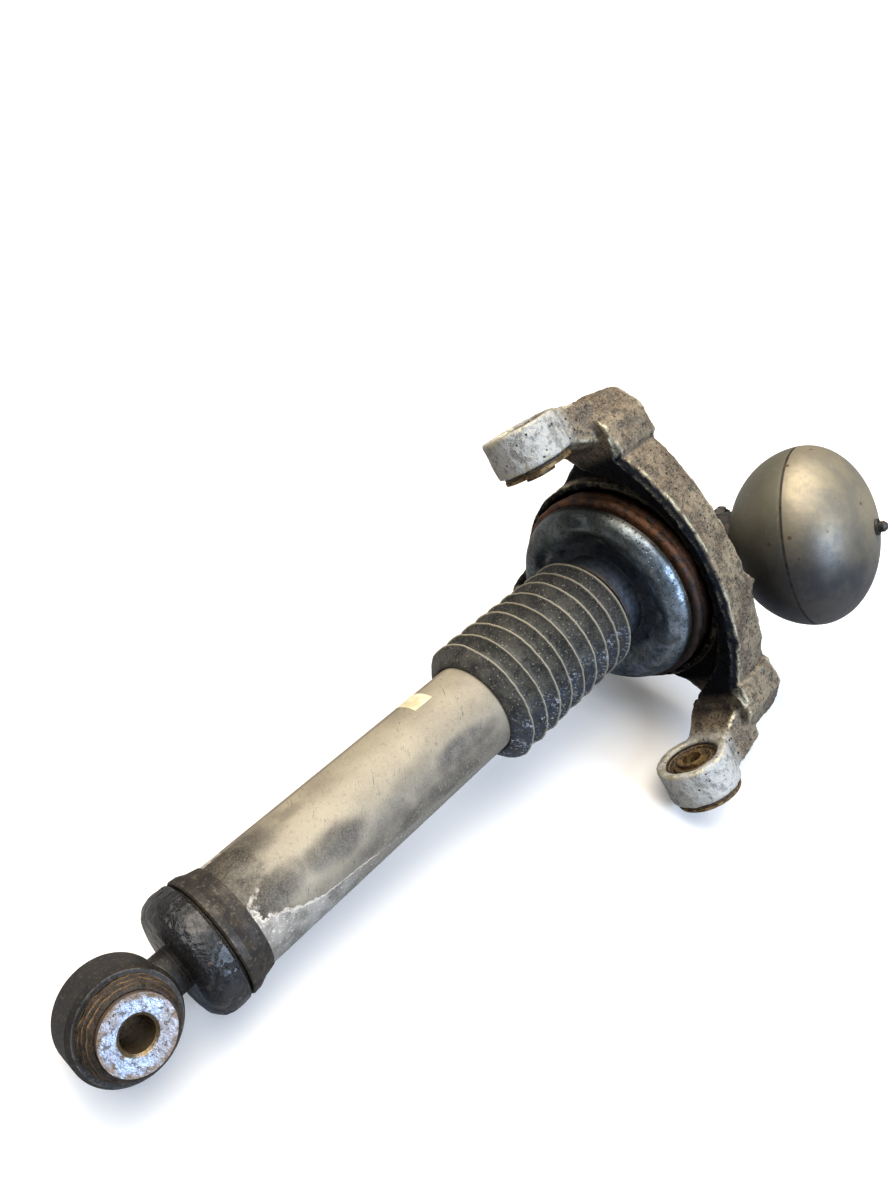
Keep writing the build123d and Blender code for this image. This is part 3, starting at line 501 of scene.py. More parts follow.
# %% Worn brown-black for the collar
def make_collar_black():
    material, tree, shader, where = new_finish("collar_black")
    haze = use(tree, blotches, where, Size=6, Low=0.40, High=0.64)
    worn = use(tree, blotches, where, Size=2, Low=0.55, High=0.64)
    edge = use(tree, worn_edges, where, Width=0.8, Gain=7, Break=2)
    colour = cover(tree, shade(36, 31, 26), shade(60, 51, 39), haze)
    colour = cover(tree, colour, shade(112, 102, 84), worn, 0.45)
    colour = cover(tree, colour, shade(126, 114, 94), edge, 0.35)
    height = use(tree, skin, where, Lump=4, Grain=0.9, Fine=0.5)
    settle(tree, shader, colour, level(tree, 0.6, 0.45, haze), height, 0.4, 0.1)
    return material


collar_black = make_collar_black()

# %% [markdown]
# ## Rubber
# The bellows is soft black rubber bleached by dust: the crests have lost their bloom and read as
# pale cream lines, the flanks are dusty grey, and the side towards the road is spattered and
# painted with a bluish tint that stands in for the cool lamp's light. Its top folds under the cup
# are painted darker as shade. Masks for crest and root are stored on its points. The bush and the
# isolator are brown rubber; the isolator's side away from the lamps is painted darker as shade.

# %% Bellows rubber
def make_bellows_rubber():
    material, tree, shader, where = new_finish("bellows_rubber", Sheen_Weight=0.08)
    crest = attribute(tree, "crest")
    flank = attribute(tree, "flank")
    angle, height_mm = unrolled(tree, where)
    dust = use(tree, blotches, where, Size=9, Low=0.34, High=0.66)
    fine = use(tree, blotches, where, Size=1.2, Low=0.45, High=0.62)
    colour = cover(tree, shade(26, 26, 26), shade(78, 76, 68), work(tree, "MULTIPLY", dust, flank))
    # painted shade: the top folds, under the cup, darkened
    upper = work(tree, "MULTIPLY", ramp(tree, height_mm, 300.0, 328.0), 0.6)
    colour = cover(tree, colour, shade(32, 32, 33), upper)
    colour = cover(tree, colour, shade(116, 113, 104), fine, 0.30)
    # the side towards the road and the cool lamp: spattered there, and painted with a bluish tint standing in
    # for that lamp's light
    spatter_and_blue_light_side = work(tree, "MULTIPLY", ramp(tree, angle, -84.0, -58.0), ramp(tree, angle, 30.0, 0.0))
    blue_light_tint = work(tree, "MULTIPLY", spatter_and_blue_light_side, use(tree, blotches, where, Size=6, Low=0.4, High=0.6))
    colour = cover(tree, colour, shade(54, 63, 80), blue_light_tint, 0.7)
    grit = use(tree, specks, where, Size=1.3, Grain=0.38, Cover=0.34)
    spatter = use(tree, blotches, where, Size=1.8, Low=0.53, High=0.59, Broken=0.75)
    colour = cover(tree, colour, shade(168, 162, 146), grit, 0.75)
    cloud = use(tree, blotches, where, Size=8, Low=0.44, High=0.60)
    road = work(tree, "MULTIPLY", work(tree, "MULTIPLY", spatter, spatter_and_blue_light_side), cloud)
    colour = cover(tree, colour, shade(222, 226, 230), road, 0.9)
    pale = work(tree, "MULTIPLY", crest, use(tree, blotches, where, Size=4, Low=0.2, High=0.4))
    colour = cover(tree, colour, shade(172, 162, 136), pale)
    roughness = level(tree, 0.62, 0.74, dust)
    height = use(tree, skin, where, Lump=3, Grain=0.7, Fine=0.5)
    settle(tree, shader, colour, roughness, height, 0.25)
    return material


bellows_rubber = make_bellows_rubber()


# %% Brown rubber: the ribbed bush and the isolator share it, each with its own colours
def make_brown_rubber(title, base, deep, pale, pale_share, side_shade_from=None):
    material, tree, shader, where = new_finish(title)
    dust = use(tree, blotches, where, Size=7, Low=0.40, High=0.62)
    crumb = use(tree, blotches, where, Size=1.3, Low=0.50, High=0.62)
    edge = use(tree, worn_edges, where, Width=0.6, Gain=9, Break=1.5)
    colour = cover(tree, base, deep, dust)
    colour = cover(tree, colour, pale, crumb, 0.3)
    colour = cover(tree, colour, pale, edge, pale_share)
    # painted shade: one side, between the angles given, darkened
    if side_shade_from:
        angle, _ = unrolled(tree, where)
        side_shade = work(tree, "MULTIPLY", ramp(tree, angle, *side_shade_from), ramp(tree, angle, 120.0, 60.0))
        colour = cover(tree, colour, shade(18, 13, 11), side_shade, 0.85)
    height = use(tree, skin, where, Lump=2.2, Grain=0.6, Fine=0.8)
    settle(tree, shader, colour, level(tree, 0.66, 0.52, dust), height, 0.5)
    return material


bush_rubber = make_brown_rubber("bush_rubber", shade(54, 41, 29), shade(22, 18, 15), shade(176, 140, 88), 1.0)


# %% The ribbed bush: dark brown, with the dried crests in tan
def make_ribbed_rubber():
    material, tree, shader, where = new_finish("ribbed_rubber")
    crest = attribute(tree, "crest")
    cloud = use(tree, blotches, where, Size=5, Low=0.40, High=0.62)
    crumb = use(tree, blotches, where, Size=0.9, Low=0.46, High=0.60)
    colour = cover(tree, shade(48, 36, 27), shade(20, 17, 15), cloud)
    colour = cover(tree, colour, shade(112, 88, 58), crumb, 0.25)
    tan = work(tree, "MULTIPLY", crest, level(tree, 0.55, 1.0, crumb))
    colour = cover(tree, colour, shade(168, 132, 84), tan)
    height = use(tree, skin, where, Lump=1.8, Grain=0.5, Fine=0.8)
    settle(tree, shader, colour, level(tree, 0.5, 0.62, crumb), height, 0.5)
    return material


ribbed_rubber = make_ribbed_rubber()
# the isolator gets painted shade on its side from about -60 to 60 degrees, fading out towards -130 and 120
isolator_rubber = make_brown_rubber("isolator_rubber", shade(104, 62, 28), shade(44, 26, 13),
                                    shade(140, 92, 48), 0.25, (-130.0, -60.0))

# %% [markdown]
# ## Plated steel
# The cup and the sleeves are zinc plated. New zinc is bright and bluish; here it has gone
# blotchy grey-green, with dark pits where the plating has failed, rust on the rims and a brassy
# tint in the bore.

# %% Zinc for the cup
def make_cup_zinc():
    material, tree, shader, where = new_finish("cup_zinc")
    deep = attribute(tree, "deep")
    angle, _ = unrolled(tree, where)
    cloud = use(tree, blotches, where, Size=13, Low=0.40, High=0.62)
    fine = use(tree, blotches, where, Size=3, Low=0.45, High=0.62)
    off_top = work(tree, "SUBTRACT", work(tree, "ABSOLUTE", angle), 160.0)
    upper = ramp(tree, work(tree, "ABSOLUTE", off_top), 60.0, 20.0)
    pits = use(tree, specks, where, Size=2.0, Grain=0.42, Cover=0.6)
    pits = work(tree, "MULTIPLY", pits, use(tree, blotches, where, Size=9, Low=0.38, High=0.52))
    colour = cover(tree, shade(158, 170, 182), shade(106, 116, 120), cloud)
    colour = cover(tree, colour, shade(84, 86, 74), upper, 0.7)
    colour = cover(tree, colour, shade(66, 70, 74), fine, 0.5)
    failed = work(tree, "MULTIPLY", pits, level(tree, 0.45, 0.95, upper))
    colour = cover(tree, colour, shade(26, 25, 24), failed)
    # painted shade: the well by the spigot and the slots on the cup's lower skin are darkened
    recess_shade = cover(tree, shade(46, 54, 66), shade(24, 28, 34), fine)
    colour = cover(tree, colour, recess_shade, deep)
    colour = cover(tree, colour, shade(52, 50, 46), attribute(tree, "rim"))
    roughness = level(tree, level(tree, 0.30, 0.42, cloud), 0.55, deep)
    height = use(tree, skin, where, Lump=7, Grain=1.4, Fine=0.3)
    height = work(tree, "SUBTRACT", height, work(tree, "MULTIPLY", pits, 0.5))
    settle(tree, shader, colour, roughness, height, 0.45, level(tree, 0.85, 0.3, deep))
    return material


cup_zinc = make_cup_zinc()


# %% Zinc for the lower sleeve: bluish face, brown rim, brassy bore
def make_sleeve_zinc():
    material, tree, shader, where = new_finish("sleeve_zinc")
    split = place(tree, "SeparateXYZ", {"Vector": where})
    flat = place(tree, "CombineXYZ", {"X": split.outputs["X"], "Z": split.outputs["Z"]})
    radius = place(tree, "VectorMath", {0: flat.outputs[0]}, operation="LENGTH").outputs["Value"]
    radius = work(tree, "DIVIDE", radius, MM)
    ragged = use(tree, blotches, where, Size=4, Low=0.3, High=0.7)
    fine = use(tree, blotches, where, Size=2.2, Low=0.5, High=0.62)
    dots = use(tree, blotches, where, Size=2.0, Low=0.58, High=0.63)
    patch = use(tree, blotches, where, Size=12, Low=0.50, High=0.60)
    rim = ramp(tree, work(tree, "MULTIPLY_ADD", ragged, 3.0, radius), 15.0, 17.2)
    bore = ramp(tree, work(tree, "MULTIPLY_ADD", ragged, -1.2, radius), 8.4, 7.4)
    colour = cover(tree, shade(168, 174, 186), shade(138, 138, 144), fine)
    colour = cover(tree, colour, shade(150, 136, 124), patch, 0.7)
    colour = cover(tree, colour, shade(96, 78, 62), dots, 0.75)
    colour = cover(tree, colour, shade(128, 104, 80), rim, 0.85)
    colour = cover(tree, colour, shade(120, 100, 64), bore, 0.9)
    height = use(tree, skin, where, Lump=3, Grain=0.8, Fine=0.5)
    height = work(tree, "SUBTRACT", height, work(tree, "MULTIPLY", dots, 0.4))
    roughness = level(tree, 0.34, 0.5, ragged)
    settle(tree, shader, colour, roughness, height, 0.35, level(tree, 0.8, 0.5, rim))
    return material


sleeve_zinc = make_sleeve_zinc()


# %% A metal with rust: used on the pivot bushes, the neck's collar, the screws and inner steel
def make_rusty_metal(title, clean, stained, rust, rust_low, metallic, roughness):
    """A metal with blotchy stains; more rust the lower rust_low is."""
    material, tree, shader, where = new_finish(title)
    cloud = use(tree, blotches, where, Size=6, Low=0.42, High=0.62)
    rusty = use(tree, blotches, where, Size=3.6, Low=rust_low, High=rust_low + 0.1)
    dots = use(tree, specks, where, Size=1.6, Grain=0.4, Cover=0.22)
    edge = use(tree, worn_edges, where, Width=0.5, Gain=8, Break=2)
    colour = cover(tree, clean, stained, cloud)
    colour = cover(tree, colour, rust, work(tree, "MAXIMUM", rusty, dots))
    colour = cover(tree, colour, clean, edge, 0.6)
    rough = level(tree, roughness, min(1.0, roughness + 0.25), rusty)
    height = use(tree, skin, where, Lump=3, Grain=0.7, Fine=0.5)
    settle(tree, shader, colour, rough, height, 0.3, level(tree, metallic, 0.1, rusty))
    return material


pivot_steel = make_rusty_metal("pivot_steel", shade(150, 124, 80), shade(84, 66, 42),
                               shade(70, 44, 24), 0.50, 0.45, 0.5)
dark_steel = make_rusty_metal("dark_steel", shade(74, 72, 70), shade(44, 42, 40),
                              shade(96, 62, 38), 0.58, 0.6, 0.5)
inner_steel = make_rusty_metal("inner_steel", shade(168, 168, 166), shade(128, 126, 122),
                               shade(110, 84, 60), 0.68, 0.9, 0.34)

# %% [markdown]
# ## Chrome, sphere paint and the small inner finishes
# The rod is ground and chromed, so its finish is nearly clean with fine polishing lines. The
# sphere is satin dark grey paint with rust spots along the seam, light scuffs and scratches.

# %% Chrome of the rod
def make_chrome():
    material, tree, shader, where = new_finish("chrome_rod")
    lines = use(tree, scratches, where, Size=12, Width=0.02, Turn=0.1)
    haze = use(tree, blotches, where, Size=16, Low=0.40, High=0.62)
    colour = cover(tree, shade(206, 208, 212), shade(176, 178, 182), haze)
    colour = cover(tree, colour, shade(140, 140, 144), lines, 0.5)
    height = use(tree, skin, where, Lump=8, Grain=0.5, Fine=0.2)
    settle(tree, shader, colour, level(tree, 0.1, 0.2, haze), height, 0.02, 1.0)
    return material


chrome_rod = make_chrome()


# %% Satin paint of the gas sphere
def make_sphere_paint():
    material, tree, shader, where = new_finish("sphere_paint", Coat_Roughness=0.35)
    middle = place(tree, "VectorMath", {0: where, 1: tuple(sphere_centre)}, operation="SUBTRACT").outputs[0]
    reach = place(tree, "VectorMath", {0: middle, 1: tuple(sphere_pole)}, operation="DOT_PRODUCT")
    from_seam = work(tree, "DIVIDE", reach.outputs["Value"], MM)
    near_seam = ramp(tree, work(tree, "ABSOLUTE", from_seam), 5.0, 1.0)
    groove = ramp(tree, work(tree, "ABSOLUTE", from_seam), 1.3, 0.5)
    neck_side = ramp(tree, from_seam, 2.0, -3.0)
    haze = use(tree, blotches, where, Size=22, Low=0.38, High=0.64)
    film = use(tree, blotches, where, Size=5, Low=0.44, High=0.64)
    grain = use(tree, blotches, where, Size=0.8, Low=0.45, High=0.6)
    rust = use(tree, specks, where, Size=6.5, Grain=0.26, Cover=0.16)
    seam_rust = work(tree, "MULTIPLY", use(tree, specks, where, Size=7, Grain=0.3, Cover=0.4), near_seam)
    lines = use(tree, scratches, where, Size=11, Width=0.016, Turn=0.9)
    scuff = use(tree, blotches, where, Size=4, Low=0.56, High=0.66)
    scuff = work(tree, "MULTIPLY", scuff, use(tree, blotches, where, Size=24, Low=0.50, High=0.60))
    colour = cover(tree, shade(160, 148, 122), shade(138, 130, 114), haze)
    colour = cover(tree, colour, shade(96, 98, 84), neck_side, 0.7)
    colour = cover(tree, colour, shade(120, 116, 106), film, 0.25)
    colour = cover(tree, colour, shade(140, 138, 132), scuff, 0.35)
    colour = cover(tree, colour, shade(168, 160, 142), lines, 0.5)
    rusty = work(tree, "MAXIMUM", work(tree, "MULTIPLY", rust, 0.7), seam_rust)
    colour = cover(tree, colour, shade(96, 60, 34), rusty)
    colour = cover(tree, colour, shade(52, 49, 44), groove, 0.55)
    # painted shade on the side that hangs outwards and down
    low = place(tree, "VectorMath", {0: middle, 1: shaded_side}, operation="DOT_PRODUCT")
    low = ramp(tree, low.outputs["Value"], -0.012, 0.042)
    lower_shade = work(tree, "MULTIPLY", low, level(tree, 0.85, 0.97, haze))
    colour = cover(tree, colour, shade(44, 44, 48), lower_shade)
    roughness = level(tree, level(tree, 0.45, 0.53, film), 0.38, work(tree, "MULTIPLY", grain, 0.5))
    height = use(tree, skin, where, Lump=9, Grain=1.0, Fine=0.16)
    height = work(tree, "SUBTRACT", height, work(tree, "MULTIPLY", rust, 0.3))
    settle(tree, shader, colour, roughness, height, 0.22, 0.4)
    feed(tree, shader.inputs["Coat Weight"], level(tree, 0.1, 0.25, haze))
    return material


# the direction of the side painted darker as shade
shaded_side = (0.78, 0.0, -0.62)
sphere_centre = Vector((0.0335, -0.0790, 0.4715))
azimuth, rise = math.radians(-79.0), math.radians(12.0)
sphere_pole = Vector((math.cos(rise) * math.cos(azimuth), math.cos(rise) * math.sin(azimuth), math.sin(rise)))
sphere_paint = make_sphere_paint()


# %% Plain moulded and paper finishes: seals, bands, foam and the blank label
def make_plain(title, base, other, size_mm, roughness, depth_mm):
    """A moulded or paper finish: two tones, worn edges and a fine grain of the given size."""
    material, tree, shader, where = new_finish(title)
    cloud = use(tree, blotches, where, Size=size_mm * 5, Low=0.38, High=0.62)
    pores = use(tree, specks, where, Size=size_mm, Grain=0.35, Cover=0.4)
    edge = use(tree, worn_edges, where, Width=0.5, Gain=7, Break=2)
    colour = cover(tree, base, other, cloud)
    colour = cover(tree, colour, other, pores, 0.6)
    colour = cover(tree, colour, base, edge, 0.4)
    height = use(tree, skin, where, Lump=size_mm * 2, Grain=size_mm * 0.5, Fine=0.6)
    height = work(tree, "SUBTRACT", height, work(tree, "MULTIPLY", pores, 0.6))
    settle(tree, shader, colour, level(tree, roughness, roughness * 0.85, cloud), height, depth_mm)
    return material


seal_rubber = make_plain("seal_rubber", shade(40, 40, 42), shade(24, 24, 26), 1.2, 0.5, 0.1)
stop_foam = make_plain("stop_foam", shade(196, 180, 128), shade(150, 132, 84), 1.6, 0.85, 0.5)
slide_ptfe = make_plain("slide_ptfe", shade(206, 208, 204), shade(176, 178, 172), 1.0, 0.4, 0.08)
button_plastic = make_plain("button_plastic", shade(70, 78, 88), shade(50, 56, 64), 1.4, 0.45, 0.1)
label_paper = make_plain("label_paper", shade(236, 230, 196), shade(212, 202, 160), 1.8, 0.6, 0.06)
print("finishes:", [material.name for material in bpy.data.materials])

# %% [markdown]
# ## Finishes on the CAD pieces
# Most pieces are turned or drilled, and their CAD shape is right. They keep it, and only get
# their finish. The hidden ones get theirs too, because the part can be taken to pieces.

# %% Give each CAD piece its finish
paint(tube_aluminium, "cylinder_tube")
paint(collar_black, "base_ring")
paint(matt_black, "lower_eye", "lower_bush_shell")
paint(bush_rubber, "left_pivot_rubber", "right_pivot_rubber")
paint(sleeve_zinc, "lower_bush_sleeve")
paint(pivot_steel, "left_pivot_sleeve", "right_pivot_sleeve")
paint(dark_steel, "left_pivot_shell", "right_pivot_shell", "sphere_neck", "sphere_fill_plug")
paint(dark_steel, "bleed_screw", "head_block", "sphere_weld", "bellows_top_clip")
paint(sphere_paint, "sphere_fluid_shell", "sphere_gas_shell")
paint(label_paper, "tube_label")
paint(chrome_rod, "piston_rod")
paint(inner_steel, "piston", "piston_nut", "rebound_stop", "rod_guide", "guide_retainer")
paint(inner_steel, "core_spool", "rebound_washer", "hose_union", "diaphragm_clamp")
paint(inner_steel, "damper_valve", "shim_stack", "valve_rivet")
paint(seal_rubber, "rod_seal", "wiper_seal", "guide_seal", "neck_seal", "diaphragm")
paint(stop_foam, "bump_stop")
paint(slide_ptfe, "piston_band")
paint(button_plastic, "diaphragm_button")

# %% [markdown]
# ## Turned surfaces
# The bellows, the cup, the isolator, the rebound cushion, the bush's rubber and the base cap are
# all round about an axis. Each is a closed outline, given as radius and height, carried round Z.
# The outline is resampled into short steps and its corners are rounded by averaging, as a mould
# or a press would leave them. The points are then pushed about, to give waves, dents and nicks.

# %% Outlines
def closed_outline(corners, step, softness):
    """The corners joined by straight runs, resampled every `step` mm, then averaged over
    `softness` neighbours on each side so that each corner becomes a round of about that size."""
    loop = np.vstack([corners, corners[:1]]).astype(float)
    runs = np.linalg.norm(np.diff(loop, axis=0), axis=1)
    travelled = np.concatenate([[0.0], np.cumsum(runs)])
    count = int(round(travelled[-1] / step))
    wanted = np.linspace(0.0, travelled[-1], count, endpoint=False)
    line = np.column_stack([np.interp(wanted, travelled, loop[:, axis]) for axis in (0, 1)])
    for _ in range(softness):
        line = 0.5 * line + 0.25 * (np.roll(line, 1, axis=0) + np.roll(line, -1, axis=0))
    return line


def turned_grid(outline, sectors):
    """Points (section, sector, xyz): each outline point (r, z) at every angle round Z."""
    angle = np.linspace(0.0, 2 * np.pi, sectors, endpoint=False)
    radius = outline[:, 0][:, None]
    height = np.repeat(outline[:, 1][:, None], sectors, axis=1)
    return np.stack([radius * np.cos(angle), radius * np.sin(angle), height], axis=2), angle


def store_masks(mesh, masks):
    """Numbers per point, stored on the mesh for its finish to read."""
    for mask, values in masks.items():
        stored = mesh.attributes.new(mask, "FLOAT", "POINT")
        stored.data.foreach_set("value", np.asarray(values, np.float32).ravel())


def push_out(grid, radius, distance):
    """Move the points away from Z by a distance in millimetres."""
    grid[:, :, :2] *= 1 + (distance / radius)[:, :, None]


def closed_mesh(title, grid, finish, masks=None):
    """A mesh from a grid that closes both ways; four neighbours make a face, wound so that the
    normals point out."""
    rows, columns = grid.shape[:2]
    index = np.arange(rows * columns).reshape(rows, columns)
    right = np.roll(index, -1, axis=1)
    faces = np.stack([index, right, np.roll(right, -1, axis=0), np.roll(index, -1, axis=0)], axis=2)
    mesh = bpy.data.meshes.new(title)
    mesh.from_pydata((grid.reshape(-1, 3) * MM).tolist(), [], faces.reshape(-1, 4).tolist())
    mesh.polygons.foreach_set("use_smooth", np.ones(rows * columns, bool))
    store_masks(mesh, masks or {})
    mesh.materials.append(finish)
    mesh.update()
    piece = bpy.data.objects.new(title, mesh)
    bpy.context.scene.collection.objects.link(piece)
    print(title, len(mesh.vertices), "points,", 2 * len(mesh.polygons), "triangles")
    return piece


def waves(points, size_mm, seed, count=7):
    """A smooth rolling number from about -1 to 1: a sum of sine waves in random directions, each
    about size_mm long. The seed fixes the directions, so every run gives the same waves."""
    draw = np.random.default_rng(seed)
    total = np.zeros(points.shape[:-1])
    for _ in range(count):
        direction = draw.normal(size=3)
        direction *= draw.uniform(0.7, 1.4) * 2 * np.pi / size_mm / np.linalg.norm(direction)
        total += np.sin(points @ direction + draw.uniform(0, 2 * np.pi))
    return total / math.sqrt(count)


def bell(distance, width):
    """One at distance zero, falling smoothly to nothing over a few widths."""
    return np.exp(-((distance / width) ** 2))


def angle_off(angle, middle_degrees):
    """Degrees between each angle and a middle direction, the short way round."""
    return np.degrees(np.angle(np.exp(1j * (angle - math.radians(middle_degrees)))))


# %% [markdown]
# ## Bellows
# The real bellows is blown rubber, nine folds deep, thin and a little uneven: the crests are
# small rolled lips, the flanks sag slightly, and no two folds sit quite alike. The outline is a
# zigzag with hollow flanks and a bead on each crest, given a second, inner line 1.6 mm inside so
# that it has a wall. It hangs from the cup and lies round the tube's top.

# %% Bellows outline
fold_pitch, fold_count = 11.84, 9
crest_radius, root_radius = 38.5, 31.5
first_crest, bellows_foot, bellows_head = 237.2, 229.5, 341.0
steps_per_fold = 20


def fold_radius(height):
    """Radius of the outside at a height: hollow flanks that rise to a narrow bead."""
    turn = (height - first_crest) / fold_pitch
    off = 2 * np.abs(turn - np.round(turn))
    return root_radius + (crest_radius - 0.5 - root_radius) * (1 - off) ** 1.25 + 0.5 * bell(off, 0.10)


fold_heights = np.linspace(first_crest, first_crest + fold_pitch * (fold_count - 0.5),
                           steps_per_fold * fold_count)
foot_rise = np.linspace(0, 1, steps_per_fold // 2, endpoint=False)
foot_line = np.column_stack([28.9 + (crest_radius - 28.9) * foot_rise**0.8,
                             bellows_foot + (first_crest - bellows_foot) * foot_rise])
fold_line = np.column_stack([fold_radius(fold_heights), fold_heights])
head_line = np.array([[root_radius, bellows_head - 1.5], [root_radius, bellows_head]])
outside = np.vstack([foot_line, fold_line, head_line])
inside = outside[::-1] - (1.5, 0)
inside[:, 0] = np.maximum(inside[:, 0], 27.8)
inside[0] = (30.1, bellows_head)
inside[-1] = (27.75, bellows_foot + 0.2)

# %% Bellows piece
def make_bellows():
    outline = np.vstack([outside, inside])
    grid, angle = turned_grid(outline, 256)
    radius, height = outline[:, 0][:, None], outline[:, 1][:, None]
    depth = np.clip((radius - root_radius) / (crest_radius - root_radius), 0, 1)
    free = np.clip((bellows_head - 4 - height) / 12, 0, 1) * depth
    fold = np.round((height - first_crest) / fold_pitch)
    lean = 0.45 * np.sin(angle + 1.7 * fold) + 0.25 * np.sin(2 * angle + 2.3 * fold)
    grid[:, :, 2] += free * lean
    nick = 0.16 * waves(grid, 7.0, 5) + 0.22 * waves(grid, 22.0, 6)
    push_out(grid, radius, free * nick)
    outer = np.concatenate([np.ones(len(outside)), np.zeros(len(inside))])[:, None]
    off = 2 * np.abs((height - first_crest) / fold_pitch - fold)
    crest = np.clip(1.4 * bell(off, 0.05), 0, 1) * outer * np.ones_like(lean)
    flank = np.clip(1.2 - 0.6 * depth, 0, 1) * outer * np.ones_like(lean)
    piece = closed_mesh("bellows_skin", grid, bellows_rubber, {"crest": crest, "flank": flank})
    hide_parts("bellows")
    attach(piece, "rod")
    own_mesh(piece)
    return piece


bellows_skin = make_bellows()

# %% [markdown]
# ## Mount cup
# A disc of steel pressed into a cup: a spigot that the bellows grips, a flat floor, and a bulged
# ring with a rolled rim. Around the floor the press has left shallow lobes and small slots. The
# sheet is an offset of one middle line to both sides, and the lobes push both skins together.

# %% Cup outline
def smooth_line(points, count):
    """Short steps along straight runs through the points, averaged into a smooth bend."""
    points = np.array(points, float)
    runs = np.concatenate([[0], np.cumsum(np.linalg.norm(np.diff(points, axis=0), axis=1))])
    wanted = np.linspace(0, runs[-1], count)
    line = np.column_stack([np.interp(wanted, runs, points[:, axis]) for axis in (0, 1)])
    for _ in range(14):
        line[1:-1] = 0.5 * line[1:-1] + 0.25 * (line[2:] + line[:-2])
    return line


cup_middle = smooth_line([(29, 338.5), (29, 357.4), (30.5, 358.2), (39.5, 358.2), (43.0, 355.6),
                          (47.0, 352.4), (52, 351.2), (56.6, 352.6), (60.0, 356.4),
                          (61.6, 360.6), (62.0, 361.6)], 110)
cup_along = np.gradient(cup_middle, axis=0)
cup_along /= np.linalg.norm(cup_along, axis=1)[:, None]
cup_across = np.column_stack([cup_along[:, 1], -cup_along[:, 0]])
to_rim = np.linalg.norm(cup_middle - cup_middle[-1], axis=1)
cup_half = 0.95 + 0.6 * bell(to_rim, 1.6)
cup_half[-3:] *= (0.85, 0.6, 0.25)
cup_half[:2] *= (0.4, 0.85)
lobes = ((-150, 44.0, 17), (-62, 44.0, 15), (145, 44.5, 15), (35, 44.0, 16), (-163, 55, 9), (100, 50, 10))
slots = (160, -146, -30)

# %% Cup piece
def make_cup():
    under = cup_middle + cup_across * cup_half[:, None]
    over = cup_middle - cup_across * cup_half[:, None]
    outline = np.vstack([under, over[::-1]])
    grid, angle = turned_grid(outline, 320)
    radius = outline[:, 0][:, None]
    height = outline[:, 1][:, None]
    on_face = np.clip((height - 346) / 5, 0, 1) * np.clip((61 - radius) / 3, 0, 1)
    push = 0.25 * waves(grid, 26.0, 3)
    for middle, reach, width in lobes:
        push += 3.2 * bell(angle_off(angle, middle), width) ** 2 * bell(radius - reach - 1.5, 3.4)
    slot_mask = 0 * push
    for middle in slots:
        slot_mask += bell(angle_off(angle, middle), 5.5) ** 2 * bell(radius - 37.0, 2.2)
    push += 1.4 * slot_mask
    grid[:, :, 2] += push * on_face
    lower = np.concatenate([np.ones(len(under)), np.zeros(len(over))])[:, None]
    well = np.clip((42.5 - radius) / 5, 0, 1) * np.ones_like(push)
    # the well and the slots, darkened as painted shade in the finish
    deep = np.clip(0.85 * well + slot_mask, 0, 1) * lower
    rim = np.clip((radius - 61.2) / 0.8, 0, 1) * np.ones_like(push)
    piece = closed_mesh("cup_pressing", grid, cup_zinc, {"deep": deep, "rim": rim})
    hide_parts("mount_cup")
    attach(piece, "rod")
    return piece


cup_pressing = make_cup()

# %% [markdown]
# ## Isolator
# A thick ring of orange-brown rubber between the cup and the bracket, moulded in two tiers with a
# groove between them.

# %% Isolator piece
def make_isolator():
    corners = np.array([(20.4, 362.4), (44.5, 362.4), (48, 358.2), (55.5, 358.2), (58.5, 363.2),
                        (64.6, 363.2), (66.0, 364.6), (66.0, 367.4), (64.2, 368.9), (64.2, 370.1),
                        (66.0, 371.5), (66.0, 375.0), (63.0, 378.0), (62.8, 383.8), (40.2, 384.1),
                        (39.8, 395.8), (20.4, 395.8)])
    outline = closed_outline(corners, 0.8, 3)
    grid, _ = turned_grid(outline, 288)
    radius = outline[:, 0][:, None]
    push_out(grid, radius, np.clip((radius - 56) / 8, 0, 1) * 0.35 * waves(grid, 15.0, 8))
    piece = closed_mesh("isolator_rubber", grid, isolator_rubber)
    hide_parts("isolator_ring")
    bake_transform(piece)
    return piece


isolator_piece = make_isolator()

# %% [markdown]
# ## Rebound cushion
# A flat rubber ring between the roof and the washer. Its edge swells a little.

# %% Rebound cushion piece
def make_cushion():
    corners = np.array([(21.4, 396.0), (35.2, 396.0), (36.0, 397.4), (36.0, 399.4), (35.2, 400.9),
                        (20.6, 400.9)])
    outline = closed_outline(corners, 0.4, 2)
    grid, _ = turned_grid(outline, 192)
    radius = outline[:, 0][:, None]
    push_out(grid, radius, np.clip((radius - 34) / 2, 0, 1) * 0.2 * waves(grid, 12.0, 12))
    piece = closed_mesh("cushion_moulding", grid, seal_rubber)
    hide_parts("rebound_cushion")
    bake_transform(piece)
    return piece


cushion_moulding = make_cushion()

# %% [markdown]
# ## Ribbed bush rubber
# The rubber of the lower bush swells out of the eye on both sides in three soft ribs, tan along
# their crests where the skin has dried. It is turned about the eye's own axis, so the outline is
# made round Z first and the grid is then laid over so that Z becomes the eye's axis, Y.

# %% Bush rubber piece
rib_places = (18.2, 21.3, 24.2)


